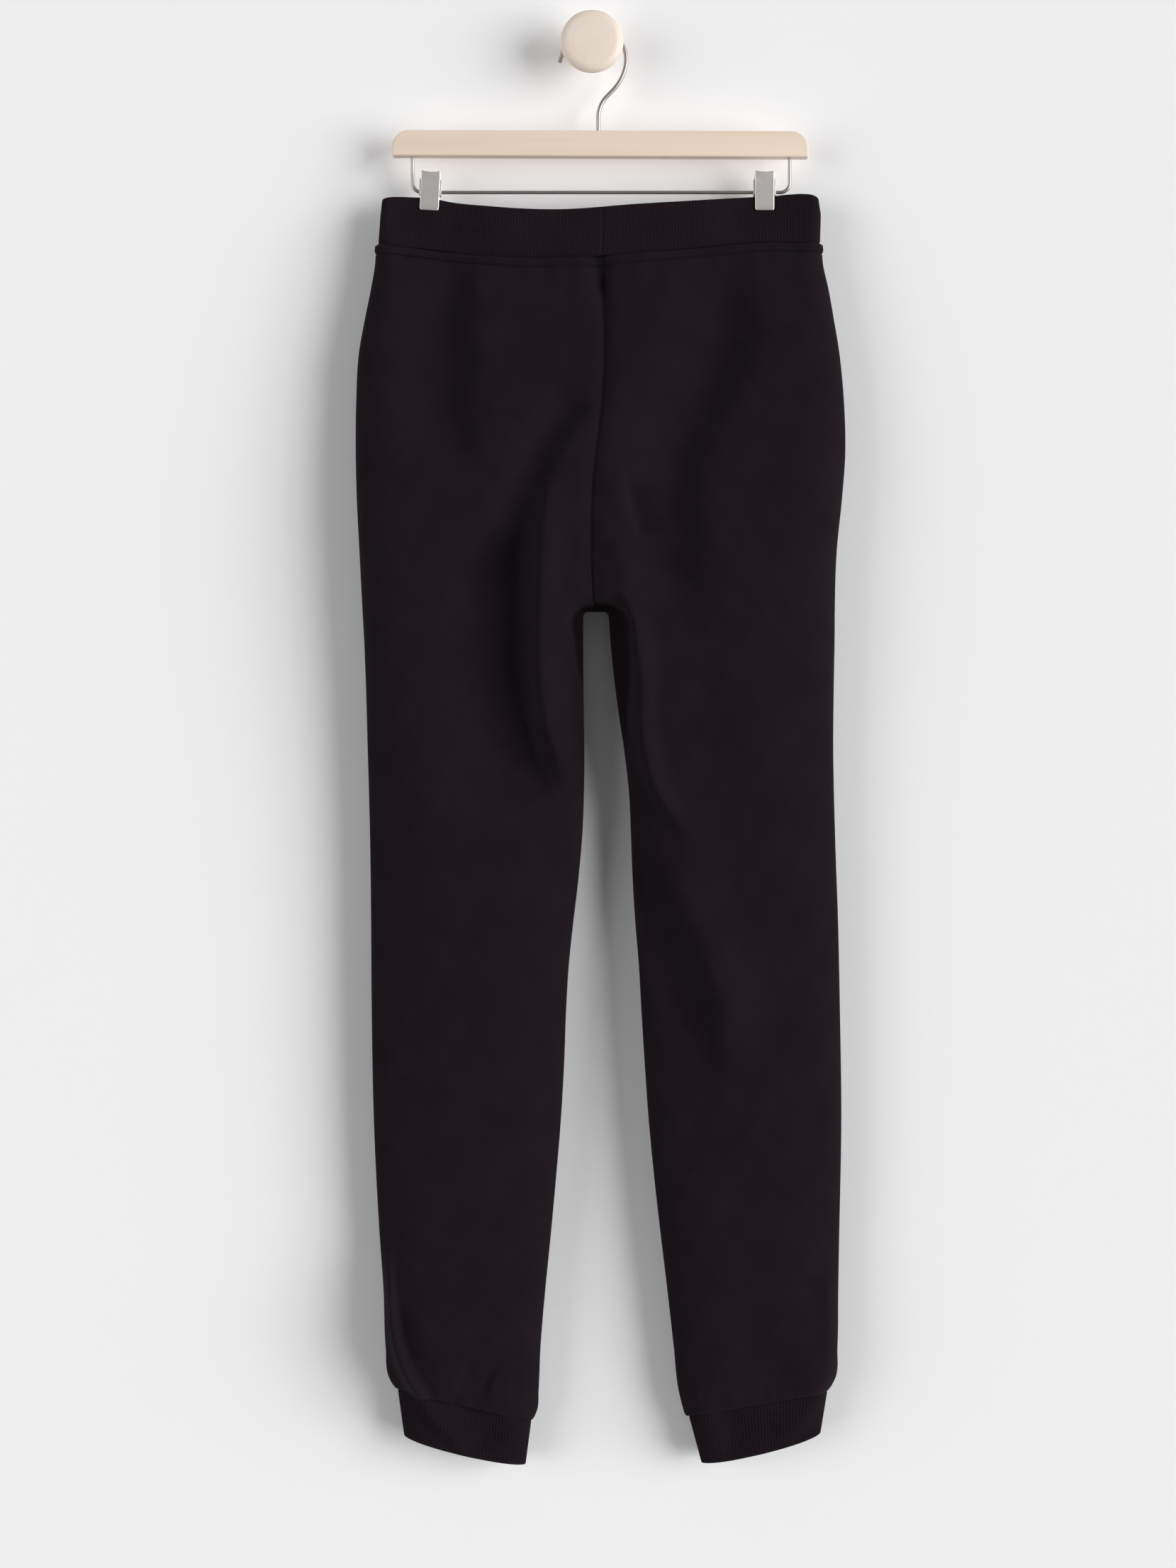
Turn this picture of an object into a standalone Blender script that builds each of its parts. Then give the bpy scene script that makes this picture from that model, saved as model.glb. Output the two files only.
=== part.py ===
"""Black sweat joggers seen from the back, gripped by the waistband in the two clips of a wooden hanger.

The hanger's hook lies over the neck of a round wooden knob. Z is up, the wall is the plane y = 0 and the
viewer stands on the side of -Y. The origin is the middle of the knob's flat back, on the wall. Left and
right are the viewer's, which are the wearer's too, because the garment shows its back.

Each piece of cloth is a wall. Its outer points come from one description of the whole garment: the outline
seen from the back, and how far the cloth swells to each side of a middle plane that the side seams lie in.
Its inner points are the outer ones moved in by the cloth's thickness. Tables are in millimetres.
"""

import math
from typing import NamedTuple

import bmesh
import bpy
import numpy as np

MM = 0.001
LEFT, RIGHT = -1, 1
BACK, FRONT = -1, 1

SEAM_GAP = 0.3
WAIST_SEAM_PULL = 0.45
SWEAT_CLOTH = 2.0
DOUBLED_RIB = 4.0
CUFF_RIB = 3.4
RIB_DEPTH = 0.6
WAIST_RIBS = 236
CUFF_RIBS = 74
LEAST_SWELL = 3.2

PANEL_COLUMNS = {BACK: 11, FRONT: 8}
BODY_ROWS = {BACK: 20, FRONT: 15}
LEG_ROWS = {BACK: 27, FRONT: 21}

CROTCH_X, CROTCH_HEIGHT = 2.1, -480.9
CROTCH_CORNER = 4.0
CROTCH_ARCH_RISE, CROTCH_ARCH_REACH = 9.0, 45.0

JAW_PINCH = 4.3
JAW_REACH = 45.0
PLANE_OF_HANGER = -26.5

KNOB_RADIUS, KNOB_NECK_RADIUS = 26.5, 12.2
KNOB_NECK_LENGTH, KNOB_LENGTH = 30.0, 46.0

HOOK_WIRE_RADIUS, HOOK_LOOP_RADIUS = 1.75, 27.2
HOOK_LOOP_X, HOOK_LOOP_HEIGHT = 1.8, -12.9
HOOK_STEM_X = 5.4
HOOK_EASE_FROM, HOOK_EASE_RADIUS, HOOK_LEAVE = -9.0, 40.0, -44.0
HOOK_LOWER_BEND = 26.0

BAR_LENGTH, BAR_HEIGHT, BAR_DEPTH = 351.6, 22.0, 14.0
BAR_X, BAR_TOP = 7.2, -74.0
BAR_CORNER, BAR_EDGE = 14.5, 1.2
BAR_TILT = math.radians(0.2)
WIRE_SEAT = 10.0

RAIL_WIRE_RADIUS, RAIL_BEND = 1.5, 8.0
RAIL_LEFT, RAIL_RIGHT, RAIL_HEIGHT = -151.8, 167.4, -125.4

CLIP_WIDTH, CLIP_TOP, CLIP_BOTTOM = 16.2, 17.4, -16.0
CLIP_SHEET, CLIP_EAR, CLIP_EAR_TOP, CLIP_EAR_BOTTOM = 1.1, 1.0, 11.0, -2.8
CLIP_FLARE = 3.0
CLIP_EAR_REACH = 3.2
CLIP_SPRING_RADIUS, CLIP_SPRING_LENGTH = 3.0, 12.4


class Clip(NamedTuple):
    """One clip: where it grips, how far it leans sideways, and the play round the rail that the lean needs."""

    name: str
    x: float
    lean: float
    hole_radius: float


CLIPS = (
    Clip("left_clip", x=-136.8, lean=math.radians(3.0), hole_radius=2.15),
    Clip("right_clip", x=146.0, lean=0.0, hole_radius=1.8),
)


class Section(NamedTuple):
    """The garment at one height: its outer edges, its middle plane, and how it swells to each side of it.

    The swell reaches half_depth at edge_width from an outer edge, and at gap_width from the edge of the gap
    between the legs.
    """

    height: float
    left_outer: float
    right_outer: float
    half_depth: float
    edge_width: float
    gap_width: float
    middle: float


SECTIONS = (
    Section(-172.5, -183.0, 195.0, 13.2, 16, 24, -27.5),
    Section(-184.5, -183.4, 195.4, 14.4, 18, 24, -28.0),
    Section(-208.5, -187.2, 200.4, 16.5, 24, 24, -28.5),
    Section(-232.5, -192.0, 204.6, 18.5, 30, 24, -29.0),
    Section(-262.5, -197.2, 209.4, 20.5, 36, 24, -29.8),
    Section(-304.5, -199.4, 213.2, 23.0, 44, 24, -31.0),
    Section(-346.5, -199.7, 214.2, 25.0, 50, 24, -32.2),
    Section(-382.5, -198.8, 211.6, 26.5, 54, 24, -33.4),
    Section(-430.5, -196.4, 206.8, 27.0, 58, 24, -33.8),
    Section(-480.9, -193.8, 205.2, 27.0, 62, 24, -33.8),
    Section(-502.5, -192.6, 205.1, 27.0, 66, 28, -33.6),
    Section(-532.5, -191.4, 204.6, 26.5, 70, 38, -33.2),
    Section(-598.5, -189.6, 204.1, 25.5, 80, 60, -32.2),
    Section(-670.5, -187.8, 205.8, 24.5, 86, 76, -31.2),
    Section(-742.5, -187.0, 208.4, 23.5, 86, 82, -30.2),
    Section(-814.5, -186.6, 210.0, 22.8, 84, 82, -29.4),
    Section(-910.5, -184.8, 211.3, 22.0, 80, 78, -28.6),
    Section(-1006.5, -180.0, 209.6, 21.0, 72, 70, -27.6),
    Section(-1054.5, -176.6, 208.8, 20.0, 66, 64, -26.8),
    Section(-1102.5, -175.0, 208.2, 18.6, 60, 58, -25.6),
    Section(-1129.0, -172.0, 206.4, 17.2, 52, 52, -24.6),
    Section(-1138.0, -167.2, 202.0, 16.6, 48, 48, -24.2),
    Section(-1164.0, -165.0, 200.0, 16.0, 46, 46, -23.4),
    Section(-1204.0, -159.0, 193.0, 15.6, 40, 40, -22.6),
)


class Inseam(NamedTuple):
    """The gap between the legs at one height."""

    height: float
    left: float
    right: float


INSEAMS = (
    Inseam(-484.9, -7.2, 14.0),
    Inseam(-502.5, -7.2, 15.2),
    Inseam(-532.5, -6.9, 18.0),
    Inseam(-562.5, -6.6, 21.6),
    Inseam(-598.5, -6.0, 27.0),
    Inseam(-634.5, -6.3, 31.0),
    Inseam(-670.5, -7.8, 32.6),
    Inseam(-706.5, -11.0, 34.0),
    Inseam(-742.5, -15.2, 36.2),
    Inseam(-778.5, -19.0, 39.2),
    Inseam(-814.5, -21.2, 41.2),
    Inseam(-862.5, -23.0, 44.2),
    Inseam(-910.5, -25.8, 47.6),
    Inseam(-958.5, -29.8, 52.2),
    Inseam(-1006.5, -34.2, 57.6),
    Inseam(-1054.5, -39.0, 63.4),
    Inseam(-1102.5, -43.0, 68.8),
    Inseam(-1140.0, -44.6, 73.0),
    Inseam(-1156.0, -45.8, 77.0),
    Inseam(-1164.0, -49.2, 79.6),
)


class Point(NamedTuple):
    """A point of a line that runs across the garment, seen from the back."""

    x: float
    height: float


WAIST_SEAM = (
    Point(-183, -170.1), Point(-141, -174.9), Point(-93, -180.4), Point(-52, -182.4), Point(9, -180.6),
    Point(57, -176.9), Point(99, -172.9), Point(145, -168.9), Point(195, -169.6),
)
WAIST_TOP = (
    Point(-181, -131.6), Point(-168, -130.0), Point(-150, -130.0), Point(-136.8, -130.6),
    Point(-118, -134.4), Point(-84, -138.3), Point(-31, -140.7), Point(41, -135.9), Point(100, -132.4),
    Point(135, -129.8), Point(152, -129.1), Point(164, -127.8), Point(186, -128.3), Point(194, -130.4),
)
CENTRE_BACK = (
    Point(CROTCH_X, CROTCH_HEIGHT), Point(-0.3, -442), Point(-0.2, -400), Point(1.0, -370), Point(3.6, -345),
    Point(8.4, -306), Point(10.8, -262), Point(10.2, -212), Point(9.4, -150), Point(9.4, -120),
)
CENTRE_FRONT = (Point(CROTCH_X, CROTCH_HEIGHT), Point(4.2, -320), Point(6.0, -150))


class BandEnd(NamedTuple):
    """The waistband's outer shape at its top edge, below the jaws and at its seam, as a share of its height."""

    share: float
    left: float
    right: float
    half_depth: float
    edge_width: float


BAND_LEVELS = (
    BandEnd(share=0.0, left=-177.4, right=191.6, half_depth=9.6, edge_width=8.0),
    BandEnd(share=0.36, left=-179.0, right=193.8, half_depth=10.8, edge_width=9.0),
    BandEnd(share=1.0, left=-180.8, right=193.0, half_depth=12.2, edge_width=12.0),
)


class CuffOutline(NamedTuple):
    """A cuff's four corners seen from the back, at the seam to the leg and at the hem."""

    seam_outer: Point
    seam_inner: Point
    hem_outer: Point
    hem_inner: Point


CUFFS = {
    LEFT: CuffOutline(Point(-164.6, -1137.4), Point(-50.8, -1164.2), Point(-159.0, -1178.6), Point(-55.8, -1202.6)),
    RIGHT: CuffOutline(Point(199.6, -1138.8), Point(81.6, -1160.6), Point(193.6, -1176.6), Point(92.6, -1201.4)),
}
CUFF_HALF_DEPTH = 15.0
CUFF_EDGE_WIDTH = 34.0
HEM_SAG = 2.6


class Fold(NamedTuple):
    """A soft ridge, or a trough where the rise is negative, along a line of points."""

    rise: float
    width: float
    line: tuple[Point, ...]


BACK_FOLDS = (
    Fold(-4.5, 17, (Point(-108, -184), Point(-114, -248), Point(-110, -278), Point(-114, -304), Point(-102, -358))),
    Fold(-5.0, 18, (Point(121, -184), Point(120, -238), Point(108, -286), Point(94, -340), Point(96, -418),
                    Point(96, -480))),
    Fold(-8.0, 12, (Point(-2, -304), Point(-21, -312), Point(-34, -342), Point(-46, -376), Point(-60, -412),
                    Point(-66, -450))),
    Fold(-12.0, 21, (Point(-62, -420), Point(-70, -480), Point(-70, -540), Point(-52, -600), Point(-34, -640))),
    Fold(5.5, 9, (Point(-38, -392), Point(-44, -440), Point(-45, -502), Point(-43, -562), Point(-26, -630))),
    Fold(-4.0, 6, (Point(26, -380), Point(32, -412))),
    Fold(7.0, 10, (Point(16, -440), Point(40, -486), Point(48, -520), Point(49, -560), Point(58, -612),
                   Point(76, -642), Point(102, -680))),
    Fold(-6.0, 16, (Point(42, -630), Point(44, -690), Point(50, -745), Point(68, -802), Point(76, -862))),
    Fold(4.5, 18, (Point(86, -730), Point(110, -788), Point(114, -832), Point(104, -880))),
    Fold(-9.0, 5, (Point(-13, -484), Point(-13, -505), Point(-11, -526))),
    Fold(-10.0, 8, (Point(18, -487), Point(28, -493), Point(23, -508))),
    Fold(3.5, 7, (Point(-166, -1056), Point(-165, -1085), Point(-153, -1118), Point(-139, -1146))),
    Fold(-4.0, 8, (Point(-160, -1106), Point(-163, -1126))),
    Fold(-4.0, 13, (Point(-112, -1142), Point(-70, -1152))),
    Fold(3.0, 8, (Point(194, -1120), Point(184, -1146))),
)
FRONT_FOLDS = (
    Fold(-4.0, 16, (Point(-92, -184), Point(-86, -250), Point(-92, -330))),
    Fold(-4.5, 17, (Point(104, -184), Point(98, -262), Point(86, -330), Point(92, -400))),
    Fold(-6.0, 12, (Point(-6, -410), Point(-34, -446), Point(-72, -478))),
    Fold(-6.0, 13, (Point(14, -404), Point(50, -446), Point(88, -474))),
    Fold(-5.0, 20, (Point(-118, -560), Point(-104, -640), Point(-92, -730))),
    Fold(-5.0, 19, (Point(122, -740), Point(108, -820), Point(116, -900))),
    Fold(-4.0, 16, (Point(-130, -860), Point(-108, -930), Point(-112, -1000))),
    Fold(-3.5, 13, (Point(-134, -1140), Point(-88, -1150))),
    Fold(-3.5, 13, (Point(150, -1142), Point(112, -1150))),
)
FOLDS = {BACK: BACK_FOLDS, FRONT: FRONT_FOLDS}
FOLD_FADE = 14.0
FOLD_TAPER = 0.3


def smooth_curve(places, values):
    """Returns a function that reads a smooth curve through a table's points, level beyond its ends."""
    order = np.argsort(places)
    knots = np.asarray(places, float)[order]
    heights = np.asarray(values, float)[order]
    slopes = np.gradient(heights, knots)

    def read(where):
        where = np.clip(where, knots[0], knots[-1])
        piece = np.clip(np.searchsorted(knots, where) - 1, 0, len(knots) - 2)
        width = knots[piece + 1] - knots[piece]
        part = (where - knots[piece]) / width
        start = heights[piece] * (1 + 2 * part) * (1 - part) ** 2 + slopes[piece] * width * part * (1 - part) ** 2
        end = heights[piece + 1] * part**2 * (3 - 2 * part)
        return start + end - slopes[piece + 1] * width * part**2 * (1 - part)

    return read


def column(rows, name):
    return [getattr(row, name) for row in rows]


def by_height(rows, name):
    return smooth_curve(column(rows, "height"), column(rows, name))


outer_edge = {LEFT: by_height(SECTIONS, "left_outer"), RIGHT: by_height(SECTIONS, "right_outer")}
inseam_edge = {LEFT: by_height(INSEAMS, "left"), RIGHT: by_height(INSEAMS, "right")}
half_depth = by_height(SECTIONS, "half_depth")
edge_width = by_height(SECTIONS, "edge_width")
gap_width = by_height(SECTIONS, "gap_width")
garment_middle = by_height(SECTIONS, "middle")
centre_line = {BACK: by_height(CENTRE_BACK, "x"), FRONT: by_height(CENTRE_FRONT, "x")}
waist_seam = smooth_curve(column(WAIST_SEAM, "x"), column(WAIST_SEAM, "height"))
waist_top = smooth_curve(column(WAIST_TOP, "x"), column(WAIST_TOP, "height"))


def smooth_step(part):
    part = np.clip(part, 0.0, 1.0)
    return part * part * (3 - 2 * part)


def rounded(part):
    """Rises from 0 to 1 as the side of a folded cloth does: upright at the fold, then flat."""
    return np.sqrt(1 - (1 - np.clip(part, 0.0, 1.0)) ** 2.5)


def middle_plane(height):
    """The y of the plane that the side seams lie in: the hanger's plane at the band, further out below."""
    into_garment = smooth_step((-142 - height) / 40)
    return PLANE_OF_HANGER + (garment_middle(height) - PLANE_OF_HANGER) * into_garment


def distance_to_gap(side, x, height):
    """How far a point lies from the gap between the legs, whose top corners are round."""
    corner_x = inseam_edge[side](height) - side * CROTCH_CORNER
    sideways = np.maximum(0.0, side * (x - corner_x))
    upwards = np.maximum(0.0, height - (CROTCH_HEIGHT - CROTCH_CORNER))
    return np.maximum(0.0, np.hypot(sideways, upwards) - CROTCH_CORNER)


def resampled(line, count=25):
    """The points of a smooth line through a few given ones, and each one's share of its length."""
    shares = np.linspace(0, 1, len(line))
    x = smooth_curve(shares, column(line, "x"))
    height = smooth_curve(shares, column(line, "height"))
    steps = np.linspace(0, 1, count)
    return np.stack([x(steps), height(steps)], axis=-1), steps


def fold_rise(face, x, height):
    """How far the folds of one face push the cloth out at each point."""
    total = np.zeros(np.shape(x))
    for fold in FOLDS[face]:
        points, shares = resampled(fold.line)
        nearest = np.full(np.shape(x), np.inf)
        share = np.zeros(np.shape(x))
        for start, end, first, last in zip(points, points[1:], shares, shares[1:]):
            along = end - start
            part = ((x - start[0]) * along[0] + (height - start[1]) * along[1]) / (along @ along)
            part = np.clip(part, 0, 1)
            away = np.hypot(x - start[0] - part * along[0], height - start[1] - part * along[1])
            share = np.where(away < nearest, first + part * (last - first), share)
            nearest = np.minimum(nearest, away)
        taper = smooth_step(np.minimum(share, 1 - share) / FOLD_TAPER + 0.25)
        total += fold.rise * taper * np.exp(-((nearest / fold.width) ** 2))
    return total


def pinched(swell, x, height):
    """Brings the cloth in to the jaws' grip round each clip."""
    for clip in CLIPS:
        sideways = np.maximum(0.0, np.abs(x - clip.x) - CLIP_WIDTH / 2 - 1.5)
        below = np.maximum(0.0, RAIL_HEIGHT + CLIP_BOTTOM - 1.0 - height)
        grip = 1 - smooth_step(np.hypot(sideways, below) / JAW_REACH)
        swell = swell + (np.minimum(swell, JAW_PINCH) - swell) * grip
    return swell


def panel_swell(face, side, x, height):
    """How far a panel's outer face stands from the middle plane."""
    from_edge = side * (outer_edge[side](height) - x)
    plain = half_depth(height) * rounded(from_edge / edge_width(height))
    plain = plain * rounded(distance_to_gap(side, x, height) / gap_width(height))
    plain = pinched(plain, x, height)
    folded = plain + fold_rise(face, x, height) * smooth_step(plain / FOLD_FADE)
    return np.maximum(folded, np.minimum(plain, LEAST_SWELL))


def cuff_seam_end(side, edge, corner):
    """The height at which one edge of a leg meets the line of its cuff's seam, carried past the cuff's corner."""
    outline = CUFFS[side]
    run, rise = outline.seam_inner.x - outline.seam_outer.x, outline.seam_inner.height - outline.seam_outer.height
    height = corner.height
    for _ in range(4):
        height = corner.height + (edge(height) - corner.x) * rise / run
    return height


def inner_boundary(side, shares):
    """Points of a leg's inner edge by share of its length, from the crotch point round the corner to the cuff."""
    flat = side * (inseam_edge[side](CROTCH_HEIGHT) - CROTCH_X) - CROTCH_CORNER
    bend = CROTCH_CORNER * math.pi / 2
    bottom = cuff_seam_end(side, inseam_edge[side], CUFFS[side].seam_inner)
    down = CROTCH_HEIGHT - CROTCH_CORNER - bottom
    travelled = np.asarray(shares) * (flat + bend + down)
    turned = np.clip((travelled - flat) / CROTCH_CORNER, 0, math.pi / 2)
    height = CROTCH_HEIGHT - CROTCH_CORNER * (1 - np.cos(turned)) - np.maximum(0, travelled - flat - bend)
    corner_x = inseam_edge[side](height) - side * CROTCH_CORNER
    x_on_bend = corner_x + side * CROTCH_CORNER * np.sin(turned)
    x_on_flat = CROTCH_X + side * travelled
    return np.where(travelled < flat, x_on_flat, x_on_bend), height


def body_shares(rows):
    """Shares of the height from the waist seam to the crotch that rows lie at, close together above the crotch."""
    from_crotch = rows - 1 - np.arange(rows)
    spacing = 1 - 0.8 * np.exp(-((from_crotch / 1.8) ** 2))
    return np.concatenate([[0], np.cumsum(spacing) / np.sum(spacing)])


def leg_shares(rows):
    """Shares of a leg's length that its rows lie at, close together at the crotch and at the cuff."""
    row = np.arange(rows)
    spacing = 1 - 0.87 * np.exp(-((row / 3.2) ** 2)) - 0.6 * np.exp(-(((rows - 1 - row) / 1.6) ** 2))
    return np.cumsum(spacing) / np.sum(spacing)


def panel_places(face, side):
    """The x and height of a panel's grid points, rows down it and columns from the side seam inwards.

    The rows arch over the top of the gap between the legs, so that none runs along its edge. Their outer ends
    are set back on the garment's edge after that, so that the side seam stays closed.
    """
    across = (1 - np.cos(np.linspace(0, math.pi, PANEL_COLUMNS[face] + 1))) / 2
    down = body_shares(BODY_ROWS[face])[:, None]
    top_outer = waist_seam(outer_edge[side](waist_seam(side * 1000.0)))
    top_inner = waist_seam(centre_line[face](-180.0))
    outer_x = outer_edge[side](top_outer + (CROTCH_HEIGHT - top_outer) * down)
    inner_x = centre_line[face](top_inner + (CROTCH_HEIGHT - top_inner) * down)
    body_x = outer_x + (inner_x - outer_x) * across
    body_height = waist_seam(body_x) + (CROTCH_HEIGHT - waist_seam(body_x)) * down

    share = leg_shares(LEG_ROWS[face])
    leg_inner_x, leg_inner_height = inner_boundary(side, share)
    bottom_outer = cuff_seam_end(side, outer_edge[side], CUFFS[side].seam_outer)
    leg_outer_height = CROTCH_HEIGHT + (bottom_outer - CROTCH_HEIGHT) * share
    leg_outer_x = outer_edge[side](leg_outer_height)
    leg_x = leg_outer_x[:, None] + (leg_inner_x - leg_outer_x)[:, None] * across
    leg_height = leg_outer_height[:, None] + (leg_inner_height - leg_outer_height)[:, None] * across
    x, height = np.vstack([body_x, leg_x]), np.vstack([body_height, leg_height])
    from_inner = np.abs(x - x[:, -1:])
    near_crotch = np.exp(-(((height[:, -1:] - CROTCH_HEIGHT) / CROTCH_ARCH_REACH) ** 2))
    arch = (1 - np.exp(-from_inner / CROTCH_CORNER)) * np.exp(-from_inner / (2 * CROTCH_ARCH_REACH))
    height = height + CROTCH_ARCH_RISE * arch * near_crotch
    return x + (outer_edge[side](height[:, :1]) - x[:, :1]) * (1 - across), height


def outward(points, middle):
    """Unit vectors that point out of a cloth's outer face, from the slopes of its grid."""
    normals = np.cross(np.gradient(points, axis=1), np.gradient(points, axis=0))
    out = np.sign(np.sum(normals[..., 1] * (points[..., 1] - middle)))
    return out * normals / np.linalg.norm(normals, axis=-1, keepdims=True)


def without(vectors, direction):
    """Unit vectors with their part along one direction taken out."""
    flat = vectors - (vectors @ direction)[..., None] * direction
    return flat / np.linalg.norm(flat, axis=-1, keepdims=True)


X_AXIS = np.array((1.0, 0.0, 0.0))
Y_AXIS = np.array((0.0, 1.0, 0.0))
Z_AXIS = np.array((0.0, 0.0, 1.0))


def across_line(start, end):
    """The upward unit vector at right angles to a line from one point of the outline to another."""
    run, rise = end.x - start.x, end.height - start.height
    length = math.copysign(math.hypot(run, rise), run)
    return np.array((-rise / length, 0.0, run / length))


def panel_wall(face, side):
    """A panel's outer and inner points, pulled back from its neighbours along the seams.

    The waist seam sags between the ends of a panel's few columns, so its straight edges need a larger pull there.
    """
    x, height = panel_places(face, side)
    middle = middle_plane(height)
    y = middle + face * panel_swell(face, side, x, height)
    outer = np.stack([x, y, height], axis=-1)
    normals = outward(outer, middle)
    crotch = BODY_ROWS[face]
    cuff_line = across_line(CUFFS[side].seam_outer, CUFFS[side].seam_inner)
    normals[:, 0] = without(normals[:, 0], Y_AXIS)
    normals[crotch, -1] = -Z_AXIS
    normals[crotch + 1:, -1] = without(normals[crotch + 1:, -1], Y_AXIS)
    normals[:crotch, -1] = without(normals[:crotch, -1], X_AXIS)
    normals[0] = without(normals[0], Z_AXIS)
    normals[-1] = without(normals[-1], cuff_line)
    pull = SEAM_GAP / 2
    outer[:, 0] += face * pull * Y_AXIS
    outer[crotch:, -1] += face * pull * Y_AXIS
    outer[: crotch + 1, -1] += side * pull * X_AXIS
    outer[0] -= WAIST_SEAM_PULL * Z_AXIS
    outer[-1] += pull * cuff_line
    return outer, outer - SWEAT_CLOTH * normals


def even_columns(x, y, count):
    """Shares of a sampled line's points at even distances along it."""
    lengths = np.concatenate([[0], np.cumsum(np.hypot(np.diff(x), np.diff(y)))])
    return np.interp(np.linspace(0, lengths[-1], count + 1), lengths, np.linspace(0, 1, len(x)))


def ring_turn(start, turns):
    """Goes once round a flattened ring from a place on its back: left, front, right and back again.

    The ring's flat width is 0 to 1 from left to right. Returns that place and the face, for each share of the turn.
    """
    travelled = np.asarray(turns) * 2.0
    back_left = travelled <= start
    front = (travelled > start) & (travelled <= start + 1)
    place = np.where(back_left, start - travelled, np.where(front, travelled - start, start + 2 - travelled))
    return place, np.where(front, FRONT, BACK)


def ring_wall(start, ribs, levels, surface, thickness, rims, end_axis):
    """The outer and inner points of a strip of rib sewn to a ring, with ribs raised on its outer face.

    Args:
        start: Where the strip's ends meet, from 0 to 1 across the flat ring's back.
        ribs: How many ribs go round.
        levels: Shares of the strip's height that its rows lie at, from the top.
        surface: Gives x, y, height and the middle plane's y, for a place across, a level and a face.
        thickness: The strip's thickness at each level.
        rims: The directions at right angles to the strip's top and bottom edges.
        end_axis: The direction in which the strip's two ends are pulled apart.
    """
    fine = np.linspace(0, 1, 4001)
    place, face = ring_turn(start, eased(fine, start))
    x, y, _, _ = surface(place, levels[len(levels) // 2], face)
    turns = eased(even_columns(x, y, 2 * ribs), start)
    place, face = ring_turn(start, turns)
    rows = [surface(place, level, face) for level in levels]
    smooth = np.stack([np.stack([x, y, height], axis=-1) for x, y, height, _ in rows])
    middle = np.stack([plane + np.zeros_like(place) for _, _, _, plane in rows])
    normals = outward(smooth, middle)
    for row, rim in zip((0, -1), rims):
        normals[row] = without(normals[row], rim)
    for end in (0, -1):
        normals[:, end] = without(normals[:, end], end_axis)
        smooth[:, end] += (-1 if end == 0 else 1) * SEAM_GAP / 2 * end_axis
    smooth[0] -= SEAM_GAP / 2 * rims[0]
    valleys = RIB_DEPTH * (np.arange(2 * ribs + 1) % 2)
    raised = smooth - valleys[None, :, None] * normals
    return raised, smooth - np.asarray(thickness)[:, None, None] * normals


def eased(turns, start):
    """Spaces the places on a ring closely at its two folds, so that their round is drawn evenly."""
    folds = np.array([0, start, start + 1, 2]) / 2
    span = np.clip(np.searchsorted(folds, turns, side="right") - 1, 0, 2)
    first, last = folds[span], folds[span + 1]
    part = np.where(last > first, (turns - first) / np.maximum(last - first, 1e-9), 0)
    whole = (1 - np.cos(math.pi * part)) / 2
    from_seam = 1 - np.cos(math.pi / 2 * (1 - part))
    to_seam = 1 - np.cos(math.pi / 2 * part)
    shaped = np.where(span == 0, 1 - from_seam, np.where(span == 1, whole, to_seam))
    return first + (last - first) * shaped


def band_surface(place, level, face):
    """A point of the waistband's outer face, before its ribs."""
    shares = column(BAND_LEVELS, "share")
    left, right, depth, width = (
        float(np.interp(level, shares, column(BAND_LEVELS, name)))
        for name in ("left", "right", "half_depth", "edge_width")
    )
    x = left + (right - left) * place
    bottom = waist_seam(x) + SEAM_GAP / 2
    height = waist_top(x) + (bottom - waist_top(x)) * level
    from_end = np.minimum(x - left, right - x)
    swell = pinched(depth * rounded(from_end / width), x, height)
    middle = middle_plane(height)
    return x, middle + face * swell, height, middle


def cuff_surface(side):
    """Returns the function that gives a point of one cuff's outer face, before its ribs."""
    outline = CUFFS[side]
    ends = (outline.seam_outer, outline.seam_inner, outline.hem_outer, outline.hem_inner)
    seam_outer, seam_inner, hem_outer, hem_inner = (np.array(point) for point in ends)

    def surface(place, level, face):
        from_outer = place if side == LEFT else 1 - place
        outer = seam_outer + (hem_outer - seam_outer) * level
        inner = seam_inner + (hem_inner - seam_inner) * level
        x = outer[0] + (inner[0] - outer[0]) * from_outer
        height = outer[1] + (inner[1] - outer[1]) * from_outer
        height = height - HEM_SAG * level * np.sin(math.pi * from_outer)
        from_end = np.minimum(np.abs(x - outer[0]), np.abs(x - inner[0]))
        swell = CUFF_HALF_DEPTH * rounded(from_end / CUFF_EDGE_WIDTH)
        middle = middle_plane(height)
        return x, middle + face * swell, height, middle

    return surface


def material(name, colour, roughness, metallic=0.0):
    """A plain material with one Principled BSDF."""
    made = bpy.data.materials.new(name)
    made.use_nodes = True
    shader = made.node_tree.nodes["Principled BSDF"]
    shader.inputs["Base Color"].default_value = (*colour, 1.0)
    shader.inputs["Roughness"].default_value = roughness
    shader.inputs["Metallic"].default_value = metallic
    return made


def add_object(name, data, finish, collection):
    made = bpy.data.objects.new(name, data)
    if finish is not None:
        data.materials.append(finish)
    collection.objects.link(made)
    return made


def mesh_from(form, name):
    """Turns a bmesh into a smoothly shaded mesh with its faces pointing out."""
    bmesh.ops.recalc_face_normals(form, faces=form.faces)
    if form.calc_volume(signed=True) < 0:
        bmesh.ops.reverse_faces(form, faces=form.faces)
    mesh = bpy.data.meshes.new(name)
    form.to_mesh(mesh)
    form.free()
    mesh.shade_smooth()
    mesh.set_sharp_from_angle(angle=math.radians(40))
    return mesh


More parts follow.
